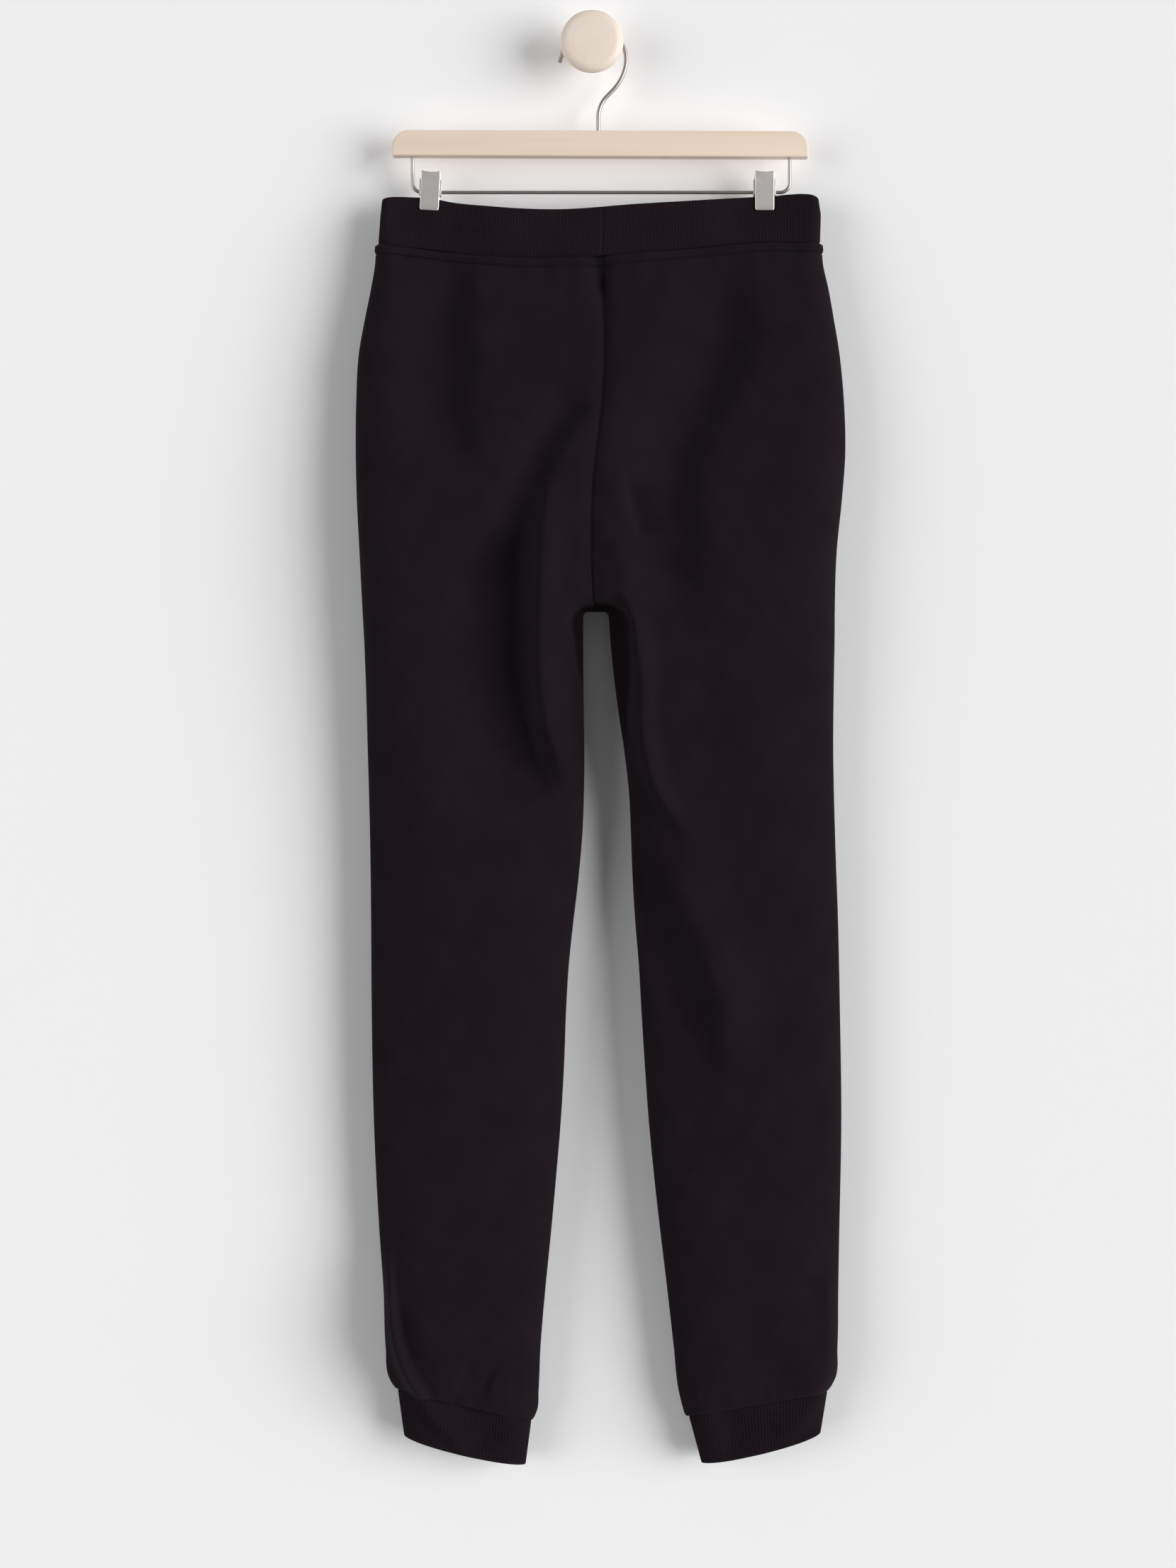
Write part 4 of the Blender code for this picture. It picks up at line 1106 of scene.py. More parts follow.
@dataclass(frozen=True)
class SewnStrip:
    """The strip under the waistband that twin rows of stitches hold down over the seam's cloth."""

    rise: float = 2.0
    top: float = 1.0
    bottom: float = 7.2
    slope: float = 0.9
    groove: float = 1.7
    groove_width: float = 1.0
    stitch_rows: tuple[float, float] = (2.6, 6.2)
    dip: float = 0.5
    dip_width: float = 0.5
    pitch: float = 2.9
    stitch_length: float = 2.5
    thread: float = 0.8

    def relief(self, below: Array) -> Array:
        """Works out how far the strip stands out.

        Args:
            below: How far below the waist seam each point lies.

        Returns:
            The distance outwards at each of them.
        """
        rising, falling = (
            smooth_step((below - edge) / self.slope) for edge in (self.top, self.bottom)
        )
        dips = sum(bell(below - row, self.dip_width) for row in self.stitch_rows)
        groove = self.groove * bell(below - self.bottom - self.slope, self.groove_width)
        return self.rise * (rising * (1 - falling)) - self.dip * dips - groove

    def sew(self, form: bmesh.types.BMesh, line: Array) -> None:
        """Adds a row of stitches along a line on the cloth.

        Args:
            form: What they are added to.
            line: Points of the line, in millimetres.
        """
        way = travelled(line, 0)
        steps = np.arange(self.pitch, way[-1] - self.pitch, self.pitch / 2)
        row = np.stack([np.interp(steps, way, line[:, axis]) for axis in range(3)], axis=-1)
        thickness = self.thread / 2 * MM
        size = Matrix.Diagonal((self.stitch_length / 2 * MM, thickness, thickness, 1.0))
        for before, place, after in zip(row[::2], row[1::2], row[2::2]):
            turn = Vector(X_AXIS).rotation_difference(Vector(after - before)).to_matrix().to_4x4()
            matrix = Matrix.Translation(Vector(place * MM)) @ turn @ size
            bmesh.ops.create_icosphere(form, subdivisions=1, radius=1.0, matrix=matrix)


class PanelCut(NamedTuple):
    """How a face's panels are drawn and cut: their grid, and the flat cloth they need in metres."""

    columns: int
    body_rows: int
    leg_rows: int
    flat: tuple[float, float]
    area: float


@dataclass
class Panel:
    """One of the garment's four panels, from the waist seam to its cuff, as a wall of cloth.

    Its rows lie closer together on the sewn strip, on both sides of the crotch and at the cuff.
    """

    garment: Garment
    face: Face
    side: Side
    cuff: CuffOutline
    strip: SewnStrip
    cut: PanelCut
    thickness: float = 2.0
    shown_gap: float = 0.04
    waist_pull: float = 0.2
    waist_level: float = -180.0
    beyond_side: float = 1000.0
    cuff_rounds: int = 4
    arch_rise: float = 9.0
    arch_reach: float = 45.0
    seam_roll: float = 1.0
    seam_roll_width: float = 1.6
    centre_roll: float = 1.5
    centre_roll_width: float = 1.6
    centre_opening: float = 0.7
    centre_opening_reach: float = 80.0
    strip_rows: int = 20
    strip_spacing: float = 0.12
    strip_end_share: float = 0.35
    strip_end_reach: float = 14.0
    above_crotch_closeness: float = 0.8
    above_crotch_rows: float = 11.0
    below_crotch_closeness: float = 0.87
    below_crotch_part: float = 8.4
    cuff_closeness: float = 0.7
    cuff_rows: float = 12.0

    @property
    def node(self) -> str:
        """The CAD node that the panel stands for."""
        return f"{self.face.word}_{self.side.word}_panel"

    def cuff_end(self, edge: Curve, corner: Point) -> float:
        """Works out, in a few rounds, the height at which a leg's edge meets its cuff's seam.

        Args:
            edge: The edge's x by its height.
            corner: The seam's own corner at that edge.

        Returns:
            The height.
        """
        run = self.cuff.seam_inner.x - self.cuff.seam_outer.x
        rise = self.cuff.seam_inner.height - self.cuff.seam_outer.height
        height = corner.height
        for _ in range(self.cuff_rounds):
            height = corner.height + (edge(height) - corner.x) * rise / run
        return height

    def inner_boundary(self, shares: Array) -> Pair:
        """Goes down the leg's inner edge, from the crotch's middle round the corner to the cuff.

        Args:
            shares: Shares of the way.

        Returns:
            The x and the height at each of them.
        """
        corner, crotch = self.garment.crotch_corner, self.garment.crotch
        inner_edge = self.garment.inner_edge[self.side]
        flat = self.side * (inner_edge(crotch.height) - crotch.x) - corner
        bend = corner * math.pi / 2
        bottom = self.cuff_end(inner_edge, self.cuff.seam_inner)
        way = np.asarray(shares) * (flat + bend + crotch.height - corner - bottom)
        turned = np.clip((way - flat) / corner, 0, math.pi / 2)
        on_leg = np.maximum(0, way - flat - bend)
        height = crotch.height - corner * (1 - np.cos(turned)) - on_leg
        corner_x = inner_edge(height) - self.side * corner
        on_bend = corner_x + self.side * corner * np.sin(turned)
        return np.where(way < flat, crotch.x + self.side * way, on_bend), height

    def body_shares(self) -> Array:
        """Spaces the body's rows.

        Returns:
            The shares of the body's height that they lie at, from the waist seam.
        """
        row = np.arange(self.cut.body_rows)
        past_strip = smooth_step((row - self.strip_rows) / self.strip_rows)
        spacing = self.strip_spacing + (1 - self.strip_spacing) * past_strip
        at_crotch = bell(self.cut.body_rows - 1 - row, self.above_crotch_rows)
        spacing = spacing - self.above_crotch_closeness * at_crotch
        return np.concatenate([[0], np.cumsum(spacing) / np.sum(spacing)])

    def leg_shares(self) -> Array:
        """Spaces the leg's rows.

        Returns:
            The shares of the leg's length that they lie at, from the crotch.
        """
        count = self.cut.leg_rows
        row = np.arange(count)
        at_crotch = bell(row, count / self.below_crotch_part)
        at_cuff = bell(count - 1 - row, self.cuff_rows)
        spacing = 1 - self.below_crotch_closeness * at_crotch - self.cuff_closeness * at_cuff
        return np.cumsum(spacing) / np.sum(spacing)

    def body_places(self, across: Array) -> Pair:
        """Lays out the rows above the crotch.

        Args:
            across: The columns' shares of the way inwards.

        Returns:
            The x and the height of each point.
        """
        garment, crotch = self.garment, self.garment.crotch
        outer_edge, centre = garment.outer_edge[self.side], garment.centre[self.face]
        down = self.body_shares()[:, None]
        seam_end = garment.waist_seam(self.side * self.beyond_side)
        top_outer = garment.waist_seam(outer_edge(seam_end))
        top_inner = garment.waist_seam(centre(self.waist_level))
        outer_x = outer_edge(top_outer + (crotch.height - top_outer) * down)
        inner_x = centre(top_inner + (crotch.height - top_inner) * down)
        x = outer_x + (inner_x - outer_x) * across
        return x, garment.waist_seam(x) + (crotch.height - garment.waist_seam(x)) * down

    def leg_places(self, across: Array) -> Pair:
        """Lays out the rows below the crotch.

        Args:
            across: The columns' shares of the way inwards.

        Returns:
            The x and the height of each point.
        """
        crotch, outer_edge = self.garment.crotch, self.garment.outer_edge[self.side]
        share = self.leg_shares()
        inner_x, inner_height = self.inner_boundary(share)
        bottom = self.cuff_end(outer_edge, self.cuff.seam_outer)
        outer_height = crotch.height + (bottom - crotch.height) * share
        outer_x = outer_edge(outer_height)
        x = outer_x[:, None] + (inner_x - outer_x)[:, None] * across
        return x, outer_height[:, None] + (inner_height - outer_height)[:, None] * across

    def places(self) -> Pair:
        """Lays out the panel's grid: rows down it, and columns from the side seam inwards.

        Rows near the crotch are raised in an arch, and their outer ends set back on the outline.

        Returns:
            The x and the height of each point.
        """
        garment = self.garment
        across = (1 - np.cos(np.linspace(0, math.pi, self.cut.columns + 1))) / 2
        parts = zip(self.body_places(across), self.leg_places(across))
        x, height = (np.vstack(part) for part in parts)
        from_inner = np.abs(x - x[:, -1:])
        near_crotch = bell(height[:, -1:] - garment.crotch.height, self.arch_reach)
        fade = np.exp(-from_inner / (2 * self.arch_reach))
        arch = (1 - np.exp(-from_inner / garment.crotch_corner)) * fade
        height = height + self.arch_rise * arch * near_crotch
        outer_x = garment.outer_edge[self.side](height[:, :1])
        return x + (outer_x - x[:, :1]) * (1 - across), height

    def relief(self, outer: Array) -> Array:
        """Works out how far the face stands out at the sewn strip, and rolls in at the seams.

        Args:
            outer: The panel's plain outer points.

        Returns:
            The distance outwards at each of them.
        """
        from_side, from_top = travelled(outer, 1), travelled(outer, 0)
        from_inner = from_side[:, -1:] - from_side
        from_bottom = from_top[-1:] - from_top
        on_body = (np.arange(len(outer)) <= self.cut.body_rows)[:, None]
        below = self.garment.waist_seam(outer[..., 0]) - outer[..., 2]
        opened = 1 + self.centre_opening * bell(below, self.centre_opening_reach)
        at_centre = bell(from_inner, self.centre_roll_width * opened)
        centre_roll = self.centre_roll * opened * at_centre
        inseam_roll = self.seam_roll * bell(from_inner, self.seam_roll_width)
        rolls = np.where(on_body, centre_roll, inseam_roll)
        for distance in (from_side, from_top, from_bottom):
            rolls = np.maximum(rolls, self.seam_roll * bell(distance, self.seam_roll_width))
        inwards = smooth_step(from_side / self.strip_end_reach)
        held = self.strip_end_share + (1 - self.strip_end_share) * inwards
        return self.strip.relief(below) * held - rolls

    def wall(self) -> Pair:
        """Works out the panel's two faces, pulled back from its neighbours along the seams.

        Returns:
            The outer and the inner points.
        """
        x, height = self.places()
        middle = self.garment.middle(height)
        y = middle + self.face * self.garment.swell(self.face, self.side, x, height)
        outer = np.stack([x, y, height], axis=-1)
        normals = outward(outer, middle)
        crotch = self.cut.body_rows
        cuff_line = across_line(self.cuff.seam_outer, self.cuff.seam_inner)
        normals[:, 0] = without(normals[:, 0], Y_AXIS)
        normals[crotch, -1] = -Z_AXIS
        normals[crotch + 1:, -1] = without(normals[crotch + 1:, -1], Y_AXIS)
        normals[:crotch, -1] = without(normals[:crotch, -1], X_AXIS)
        normals[0] = without(normals[0], Z_AXIS)
        normals[-1] = without(normals[-1], cuff_line)
        relief = self.relief(outer)
        pull = self.shown_gap / 2
        outer[:, 0] += self.face * pull * Y_AXIS
        outer[crotch:, -1] += self.face * pull * Y_AXIS
        outer[: crotch + 1, -1] += self.side * pull * X_AXIS
        outer[0] -= self.waist_pull * Z_AXIS
        outer[-1] += pull * cuff_line
        return outer + relief[..., None] * normals, outer - self.thickness * normals

    def stitching(self, outer: Array) -> bpy.types.Mesh:
        """Sews the panel's part of the twin rows of stitches that run under the waistband.

        Args:
            outer: The panel's outer points.

        Returns:
            The stitches' mesh.
        """
        form = bmesh.new()
        down = travelled(outer, 0)
        for below in self.strip.stitch_rows:
            line = np.array([
                [np.interp(below, down[:, place], outer[:, place, axis]) for axis in range(3)]
                for place in range(self.cut.columns + 1)
            ])
            self.strip.sew(form, line)
        mesh = mesh_from(form, f"{self.node}_stitching", sharp=80.0)
        mesh.uv_layers.new(name=CLOTH_UV)
        return mesh

    def build(self, workshop: Workshop) -> None:
        """Args:
            workshop: Where the pieces are added.
        """
        outer, inner = self.wall()
        name = f"{self.node}_cloth"
        made = workshop.add(name, cloth_mesh(name, outer, inner), Slot.CLOTH, [self.node])
        stitches = workshop.add(f"{self.node}_stitching", self.stitching(outer), Slot.RIB)


class RibPlan(NamedTuple):
    """How a strip of rib is sewn up: where its ends meet, its edges, and what holds it.

    The start goes from 0 to 1 across the flat ring's back. The rims are unit vectors at right
    angles to its top and bottom edges. The wall's ends are square to them, and the top edge is
    pulled back along its own. A rim of zero leaves its edge as it is. The end_axis is the
    direction in which the strip's two ends are pulled apart.
    """

    start: float
    rims: Pair
    end_axis: Array
    fold_on_top: bool
    rests_on: list[str]


@dataclass(kw_only=True)
class RibStrip:
    """A doubled strip of rib knit, sewn to a ring and flattened: one edge a fold, one a seam.

    The levels are the distances of its rows from its top, down to its whole height. The flat
    size is in metres.
    """

    garment: Garment
    node: str
    flat: tuple[float, float]
    thickness: float
    ribs: int
    rib_depth: float
    seam_dip: float
    levels: tuple[float, ...]
    rib_shape: float = 1.3
    seam_dip_width: float = 1.1
    end_dip: float = 0.8
    end_dip_width: float = 1.2
    end_gap: float = 0.02
    columns_of_rib: int = 6
    fine_steps: int = 6000

    def plan(self) -> RibPlan:
        """Says how the strip is sewn up; each kind of strip has its own way."""
        raise NotImplementedError

    def surface(self, place: Array, level: float, face: Array) -> Surface:
        """Gives points of the outer face, before its ribs; each kind of strip has its own form."""
        raise NotImplementedError

    def turn(self, turns: Array, start: float) -> Pair:
        """Goes once round the flattened ring from its start: left, front, right and back again.

        Args:
            turns: Shares of the way round.
            start: Where the strip's ends meet.

        Returns:
            The place across the ring and the face, for each share.
        """
        way = np.asarray(turns) * 2.0
        front = (way > start) & (way <= start + 1)
        past = np.where(front, way - start, start + 2 - way)
        place = np.where(way <= start, start - way, past)
        return place, np.where(front, int(Face.FRONT), int(Face.BACK))

    def eased(self, turns: Array, start: float) -> Array:
        """Spaces places closely at the ring's two folds, so that their round is drawn evenly.

        Args:
            turns: Even shares of the way round.
            start: Where the strip's ends meet.

        Returns:
            The eased shares.
        """
        folds = np.array([0, start, start + 1, 2]) / 2
        span = np.clip(np.searchsorted(folds, turns, side="right") - 1, 0, 2)
        first, last = folds[span], folds[span + 1]
        part = np.where(last > first, (turns - first) / np.maximum(last - first, TINY), 0)
        whole = (1 - np.cos(math.pi * part)) / 2
        from_seam, to_seam = 1 - np.cos(math.pi / 2 * (1 - part)), 1 - np.cos(math.pi / 2 * part)
        shaped = np.where(span == 0, 1 - from_seam, np.where(span == 1, whole, to_seam))
        return first + (last - first) * shaped

    def columns(self, start: float) -> Pair:
        """Lays the columns evenly round the ring, as measured halfway down.

        Args:
            start: Where the strip's ends meet.

        Returns:
            The place across the ring and the face, for each column.
        """
        fine = self.eased(np.linspace(0, 1, self.fine_steps + 1), start)
        place, face = self.turn(fine, start)
        x, y, _, _ = self.surface(place, 0.5, face)
        lengths = np.concatenate([[0], np.cumsum(np.hypot(np.diff(x), np.diff(y)))])
        even = np.linspace(0, lengths[-1], self.columns_of_rib * self.ribs + 1)
        return self.turn(np.interp(even, lengths, fine), start)

    def wall(self, plan: RibPlan) -> Pair:
        """Works out the strip's outer and inner points, with ribs raised on its outer face.

        Args:
            plan: How it is sewn up.

        Returns:
            The outer and the inner points.
        """
        down = np.array(self.levels)
        up = down[-1] - down
        from_fold, from_sewn = (down, up) if plan.fold_on_top else (up, down)
        rolled = folded_edge(from_fold, self.thickness / 2)
        inset = rolled + self.seam_dip * bell(from_sewn, self.seam_dip_width)
        place, face = self.columns(plan.start)
        rows = [self.surface(place, level, face) for level in down / down[-1]]
        smooth = np.stack([np.stack([x, y, height], axis=-1) for x, y, height, _ in rows])
        normals = outward(smooth, np.stack([middle + np.zeros_like(place) for *_, middle in rows]))
        for row, rim in zip((0, -1), plan.rims):
            normals[row] = without(normals[row], rim)
        for end, sign in ((0, -1), (-1, 1)):
            normals[:, end] = without(normals[:, end], plan.end_axis)
            smooth[:, end] += sign * self.end_gap / 2 * plan.end_axis
        smooth[0] -= self.garment.seam_gap / 2 * plan.rims[0]
        ribs = math.tau * np.arange(len(place)) / self.columns_of_rib
        ribbed = self.rib_depth * (0.5 - 0.5 * np.cos(ribs)) ** self.rib_shape
        way = travelled(smooth, 1)
        ends = bell(way, self.end_dip_width) + bell(way[:, -1:] - way, self.end_dip_width)
        below_fold = np.clip(1 - inset, 0.0, 1.0)[:, None]
        sunk = np.maximum(inset[:, None], self.end_dip * ends * below_fold) + ribbed[None, :]
        return (
            smooth - sunk[..., None] * normals,
            smooth - (self.thickness - rolled)[:, None, None] * normals,
        )

    def build(self, workshop: Workshop) -> None:
        """Builds the strip.

        Args:
            workshop: Where the piece is added.
        """
        plan = self.plan()
        name = f"{self.node}_rib"
        made = workshop.add(name, cloth_mesh(name, *self.wall(plan)), Slot.RIB, [self.node])


@dataclass(kw_only=True)
class Waistband(RibStrip):
    """The doubled band of rib, its top edge a fold, its lower edge sewn to the panels."""

    node: str = "waistband"
    flat: tuple[float, float] = (0.768, 0.042)
    thickness: float = 4.0
    ribs: int = 300
    rib_depth: float = 0.42
    seam_dip: float = 0.9
    levels: tuple[float, ...] = (
        0.0, 0.2, 0.6, 1.2, 2.0, 3.6, 6.5, 10.5, 15.0, 20.0, 25.0, 30.0, 34.5, 38.0, 39.6, 40.4,
        41.0,
    )
    ends: tuple[BandEnd, ...] = table(
        BandEnd,
        (0.0, -177.4, 191.6, 9.6, 8.0),
        (0.36, -179.0, 193.8, 10.8, 9.0),
        (1.0, -180.8, 193.0, 12.2, 12.0),
    )

    def plan(self) -> RibPlan:
        """Says that the band's ends meet at the centre back, and that the clips hold it.

        Returns:
            The plan.
        """
        end = self.ends[1]
        start = (self.garment.centre_back[-1].x - end.left) / (end.right - end.left)
        clips = [f"{side.word}_clip_{jaw}_jaw" for side in Side for jaw in ("front", "rear")]
        return RibPlan(start, (0 * Z_AXIS, Z_AXIS), X_AXIS, True, clips)

    def surface(self, place: Array, level: float, face: Array) -> Surface:
        """Gives points of the band's outer face, before its ribs.

        Args:
            place: The places across the flat band, from 0 at the viewer's left to 1.
            level: The share of its height, from its top.
            face: The face that each point lies on.

        Returns:
            The x, y and height of each point, and the middle plane's y.
        """
        shares = column(self.ends, "share")
        left, right, depth, width = (
            float(np.interp(level, shares, column(self.ends, name)))
            for name in ("left", "right", "half_depth", "edge_width")
        )
        x = left + (right - left) * place
        top = self.garment.waist_top(x)
        bottom = self.garment.waist_seam(x) + self.garment.seam_gap / 2
        height = top + (bottom - top) * level
        from_end = np.minimum(x - left, right - x)
        swell = self.garment.pinched(depth * rounded(from_end / width), x, height)
        middle = self.garment.middle(height)
        return x, middle + face * swell, height, middle


@dataclass(kw_only=True)
class Cuff(RibStrip):
    """One cuff of rib, folded at its hem and sewn to its leg."""

    side: Side
    outline: CuffOutline
    node: str = ""
    flat: tuple[float, float] = (0.248, 0.042)
    thickness: float = 3.4
    ribs: int = 94
    rib_depth: float = 0.5
    seam_dip: float = 0.8
    levels: tuple[float, ...] = (
        0.0, 0.5, 1.2, 2.4, 4.5, 8.0, 12.5, 17.5, 22.5, 27.5, 32.5, 36.5, 39.0, 40.0, 40.6, 41.0,
    )
    half_depth: float = 15.0
    edge_width: float = 34.0
    hem_sag: float = 2.6
    creases: dict[Side, tuple[Crease, ...]] = field(default_factory=lambda: {
        Side.LEFT: crease_table(
            (5.0, 5, 8, (-158, -1112), (-148, -1138), (-134, -1160), (-118, -1176), (-104, -1190)),
            (-4.5, 16, 18, (-108, -1142), (-92, -1164), (-84, -1186)),
        ),
        Side.RIGHT: crease_table(
            (4.0, 9, 7, (200, -1128), (188, -1154), (170, -1168), (150, -1172)),
            (-3.5, 14, 14, (112, -1150), (118, -1172), (128, -1192)),
        ),
    })

    def __post_init__(self) -> None:
        """Names the cuff's CAD node by its side."""
        self.node = f"{self.side.word}_cuff"

    def plan(self) -> RibPlan:
        """Says that the cuff's ends meet at the inseam, and that its leg holds it.

        Returns:
            The plan.
        """
        corners = self.outline
        rims = (
            across_line(corners.seam_outer, corners.seam_inner),
            across_line(corners.hem_outer, corners.hem_inner),
        )
        start = 1.0 if self.side is Side.LEFT else 0.0
        return RibPlan(start, rims, Y_AXIS, False, [f"back_{self.side.word}_panel"])

    def surface(self, place: Array, level: float, face: Array) -> Surface:
        """Gives points of the cuff's outer face, before its ribs.

        Args:
            place: The places across the flat cuff, from 0 at the viewer's left to 1.
            level: The share of its height, from its seam.
            face: The face that each point lies on.

        Returns:
            The x, y and height of each point, and the middle plane's y.
        """
        seam_outer, seam_inner, hem_outer, hem_inner = (np.array(point) for point in self.outline)
        from_outer = place if self.side is Side.LEFT else 1 - place
        outer = seam_outer + (hem_outer - seam_outer) * level
        inner = seam_inner + (hem_inner - seam_inner) * level
        x = outer[0] + (inner[0] - outer[0]) * from_outer
        sag = self.hem_sag * level * np.sin(math.pi * from_outer)
        height = outer[1] + (inner[1] - outer[1]) * from_outer - sag
        from_end = np.minimum(np.abs(x - outer[0]), np.abs(x - inner[0]))
        middle = self.garment.middle(height)
        creases = self.creases[self.side]
        moved = sum(self.garment.crease_rise(crease, x, height) for crease in creases)
        swell = self.half_depth + moved * (face == Face.BACK)
        return x, middle + face * swell * rounded(from_end / self.edge_width), height, middle


def arc(centre: Point, radius: float, start: float, end: float, count: int) -> list[tuple]:
    """Lays points along an arc in the hanger's plane.

    Args:
        centre: The arc's centre.
        radius: Its radius.
        start: Where it starts, in degrees from +X towards +Z.
        end: Where it ends.
        count: How many points it has.

    Returns:
        The points.
    """
    return [
        (centre.x + radius * math.cos(turn), HANGER_PLANE, centre.height + radius * math.sin(turn))
        for turn in np.radians(np.linspace(start, end, count))
    ]


@dataclass
class Hanger:
    """The wooden bar, the hook in its top and the wire rail under it.

    The hook's wire goes from its tip over the knob's neck in a round loop, eases into a wider
    arc, leaves it in a straight run, and bends down into the stem.
    """

    bar_size: tuple[float, float, float] = (351.6, 14.0, 22.0)
    bar_x: float = 7.2
    bar_top: float = -74.0
    bar_corner: float = 14.5
    bar_corner_steps: int = 24
    bar_edge: float = 1.4
    bar_edge_steps: int = 4
    bar_edge_angle: float = math.radians(60)
    bar_tilt: float = math.radians(0.2)
    wire_seat: float = 10.0
    hook_radius: float = 1.75
    hook_smoothness: int = 8
    tip_angle: float = 172.0
    tip_reach: Point = Point(2.1, 6.4)
    tip_bow: float = 0.15
    loop: Point = Point(1.8, -12.9)
    loop_radius: float = 27.2
    loop_points: int = 60
    ease_from: float = -9.0
    ease_radius: float = 40.0
    leave: float = -44.0
    lower_bend: float = 26.0
    bend_points: int = 16
    stem_x: float = 5.4
    rail_radius: float = 1.5
    rail_smoothness: int = 7
    rail_bend: float = 8.0
    rail_bend_points: int = 14
    rail_left: float = -151.8
    rail_right: float = 167.4

    def hook_route(self) -> list[tuple]:
        """Lays the hook's route: a tip, the loop, the wider arc, the run and the stem.

        Returns:
            The points of the wire's middle line.
        """
        over_neck = arc(
            self.loop, self.loop_radius, self.tip_angle, self.ease_from, self.loop_points
        )
        first_x, _, first_height = over_neck[0]
        tip_x, tip_height = first_x - self.tip_reach.x, first_height - self.tip_reach.height
        tip = (tip_x, HANGER_PLANE, tip_height)
        middle = (
            (tip_x + first_x) / 2 - self.tip_bow, HANGER_PLANE, (tip_height + first_height) / 2
        )
        ease = math.radians(self.ease_from)
        widening = self.ease_radius - self.loop_radius
        wider_centre = Point(
            self.loop.x - widening * math.cos(ease), self.loop.height - widening * math.sin(ease)
        )
        wider = arc(wider_centre, self.ease_radius, self.ease_from, self.leave, self.bend_points)
        bend_x = self.stem_x + self.lower_bend
        lean = math.radians(-self.leave)
        drop = (wider[-1][0] - bend_x + self.lower_bend * math.cos(lean)) / math.tan(lean)
        bend_centre = Point(bend_x, wider[-1][2] - drop - self.lower_bend * math.sin(lean))
        into_stem = arc(bend_centre, self.lower_bend, 180.0 + self.leave, 180.0, self.bend_points)
        stem_end = (self.stem_x, HANGER_PLANE, self.bar_top - self.wire_seat)
        return [tip, middle, *over_neck, *wider[1:], *into_stem, stem_end]

    def rail_route(self) -> list[tuple]:
        """Lays the rail's route: down from one end of the bar, along under it, and up again.

        Returns:
            The points of the wire's middle line.
        """
        top = self.bar_top - self.bar_size[2] + self.wire_seat
        bend, count = self.rail_bend, self.rail_bend_points
        left = arc(Point(self.rail_left + bend, RAIL_HEIGHT + bend), bend, 180, 270, count)
        right = arc(Point(self.rail_right - bend, RAIL_HEIGHT + bend), bend, 270, 360, count)
        ends = [(x, HANGER_PLANE, top) for x in (self.rail_left, self.rail_right)]
        return [ends[0], *left, *right, ends[1]]

    def bar_mesh(self) -> bpy.types.Mesh:
        """Shapes the bar: a block with two large round top corners and softened edges.

        Returns:
            Its mesh, in place.
        """
        form = bmesh.new()
        bmesh.ops.create_cube(form, size=1.0)
        bmesh.ops.scale(form, vec=Vector(self.bar_size) * MM, verts=form.verts)
        corners = [
            edge for edge in form.edges
            if all(vert.co.z > 0 for vert in edge.verts)
            and abs(edge.verts[0].co.x - edge.verts[1].co.x) < MM
        ]
        soften(form, corners, self.bar_corner, self.bar_corner_steps)
        rims = [edge for edge in form.edges if edge.calc_face_angle(0.0) > self.bar_edge_angle]
        soften(form, rims, self.bar_edge, self.bar_edge_steps)
        centre = (self.bar_x, HANGER_PLANE, self.bar_top - self.bar_size[2] / 2)
        place = Matrix.Translation(Vector(centre) * MM)
        tilt = Matrix.Rotation(self.bar_tilt, 4, "Y")
        bmesh.ops.transform(form, matrix=place @ tilt, verts=form.verts)
        return mesh_from(form, "hanger_bar_wood", sharp=30.0)

    def build(self, workshop: Workshop) -> None:
        """Builds the bar and the two wires.

        Args:
            workshop: Where the pieces are added.
        """
        workshop.add("hanger_bar_wood", self.bar_mesh(), Slot.WOOD, ["hanger_bar"])
        for node, route, radius, smoothness in (
            ("hanger_hook", self.hook_route(), self.hook_radius, self.hook_smoothness),
            ("hanger_rail", self.rail_route(), self.rail_radius, self.rail_smoothness),
        ):
            mesh = wire_mesh(f"{node}_wire", route, radius, smoothness)
            workshop.add(f"{node}_wire", mesh, Slot.STEEL, [node], workshop.wire)


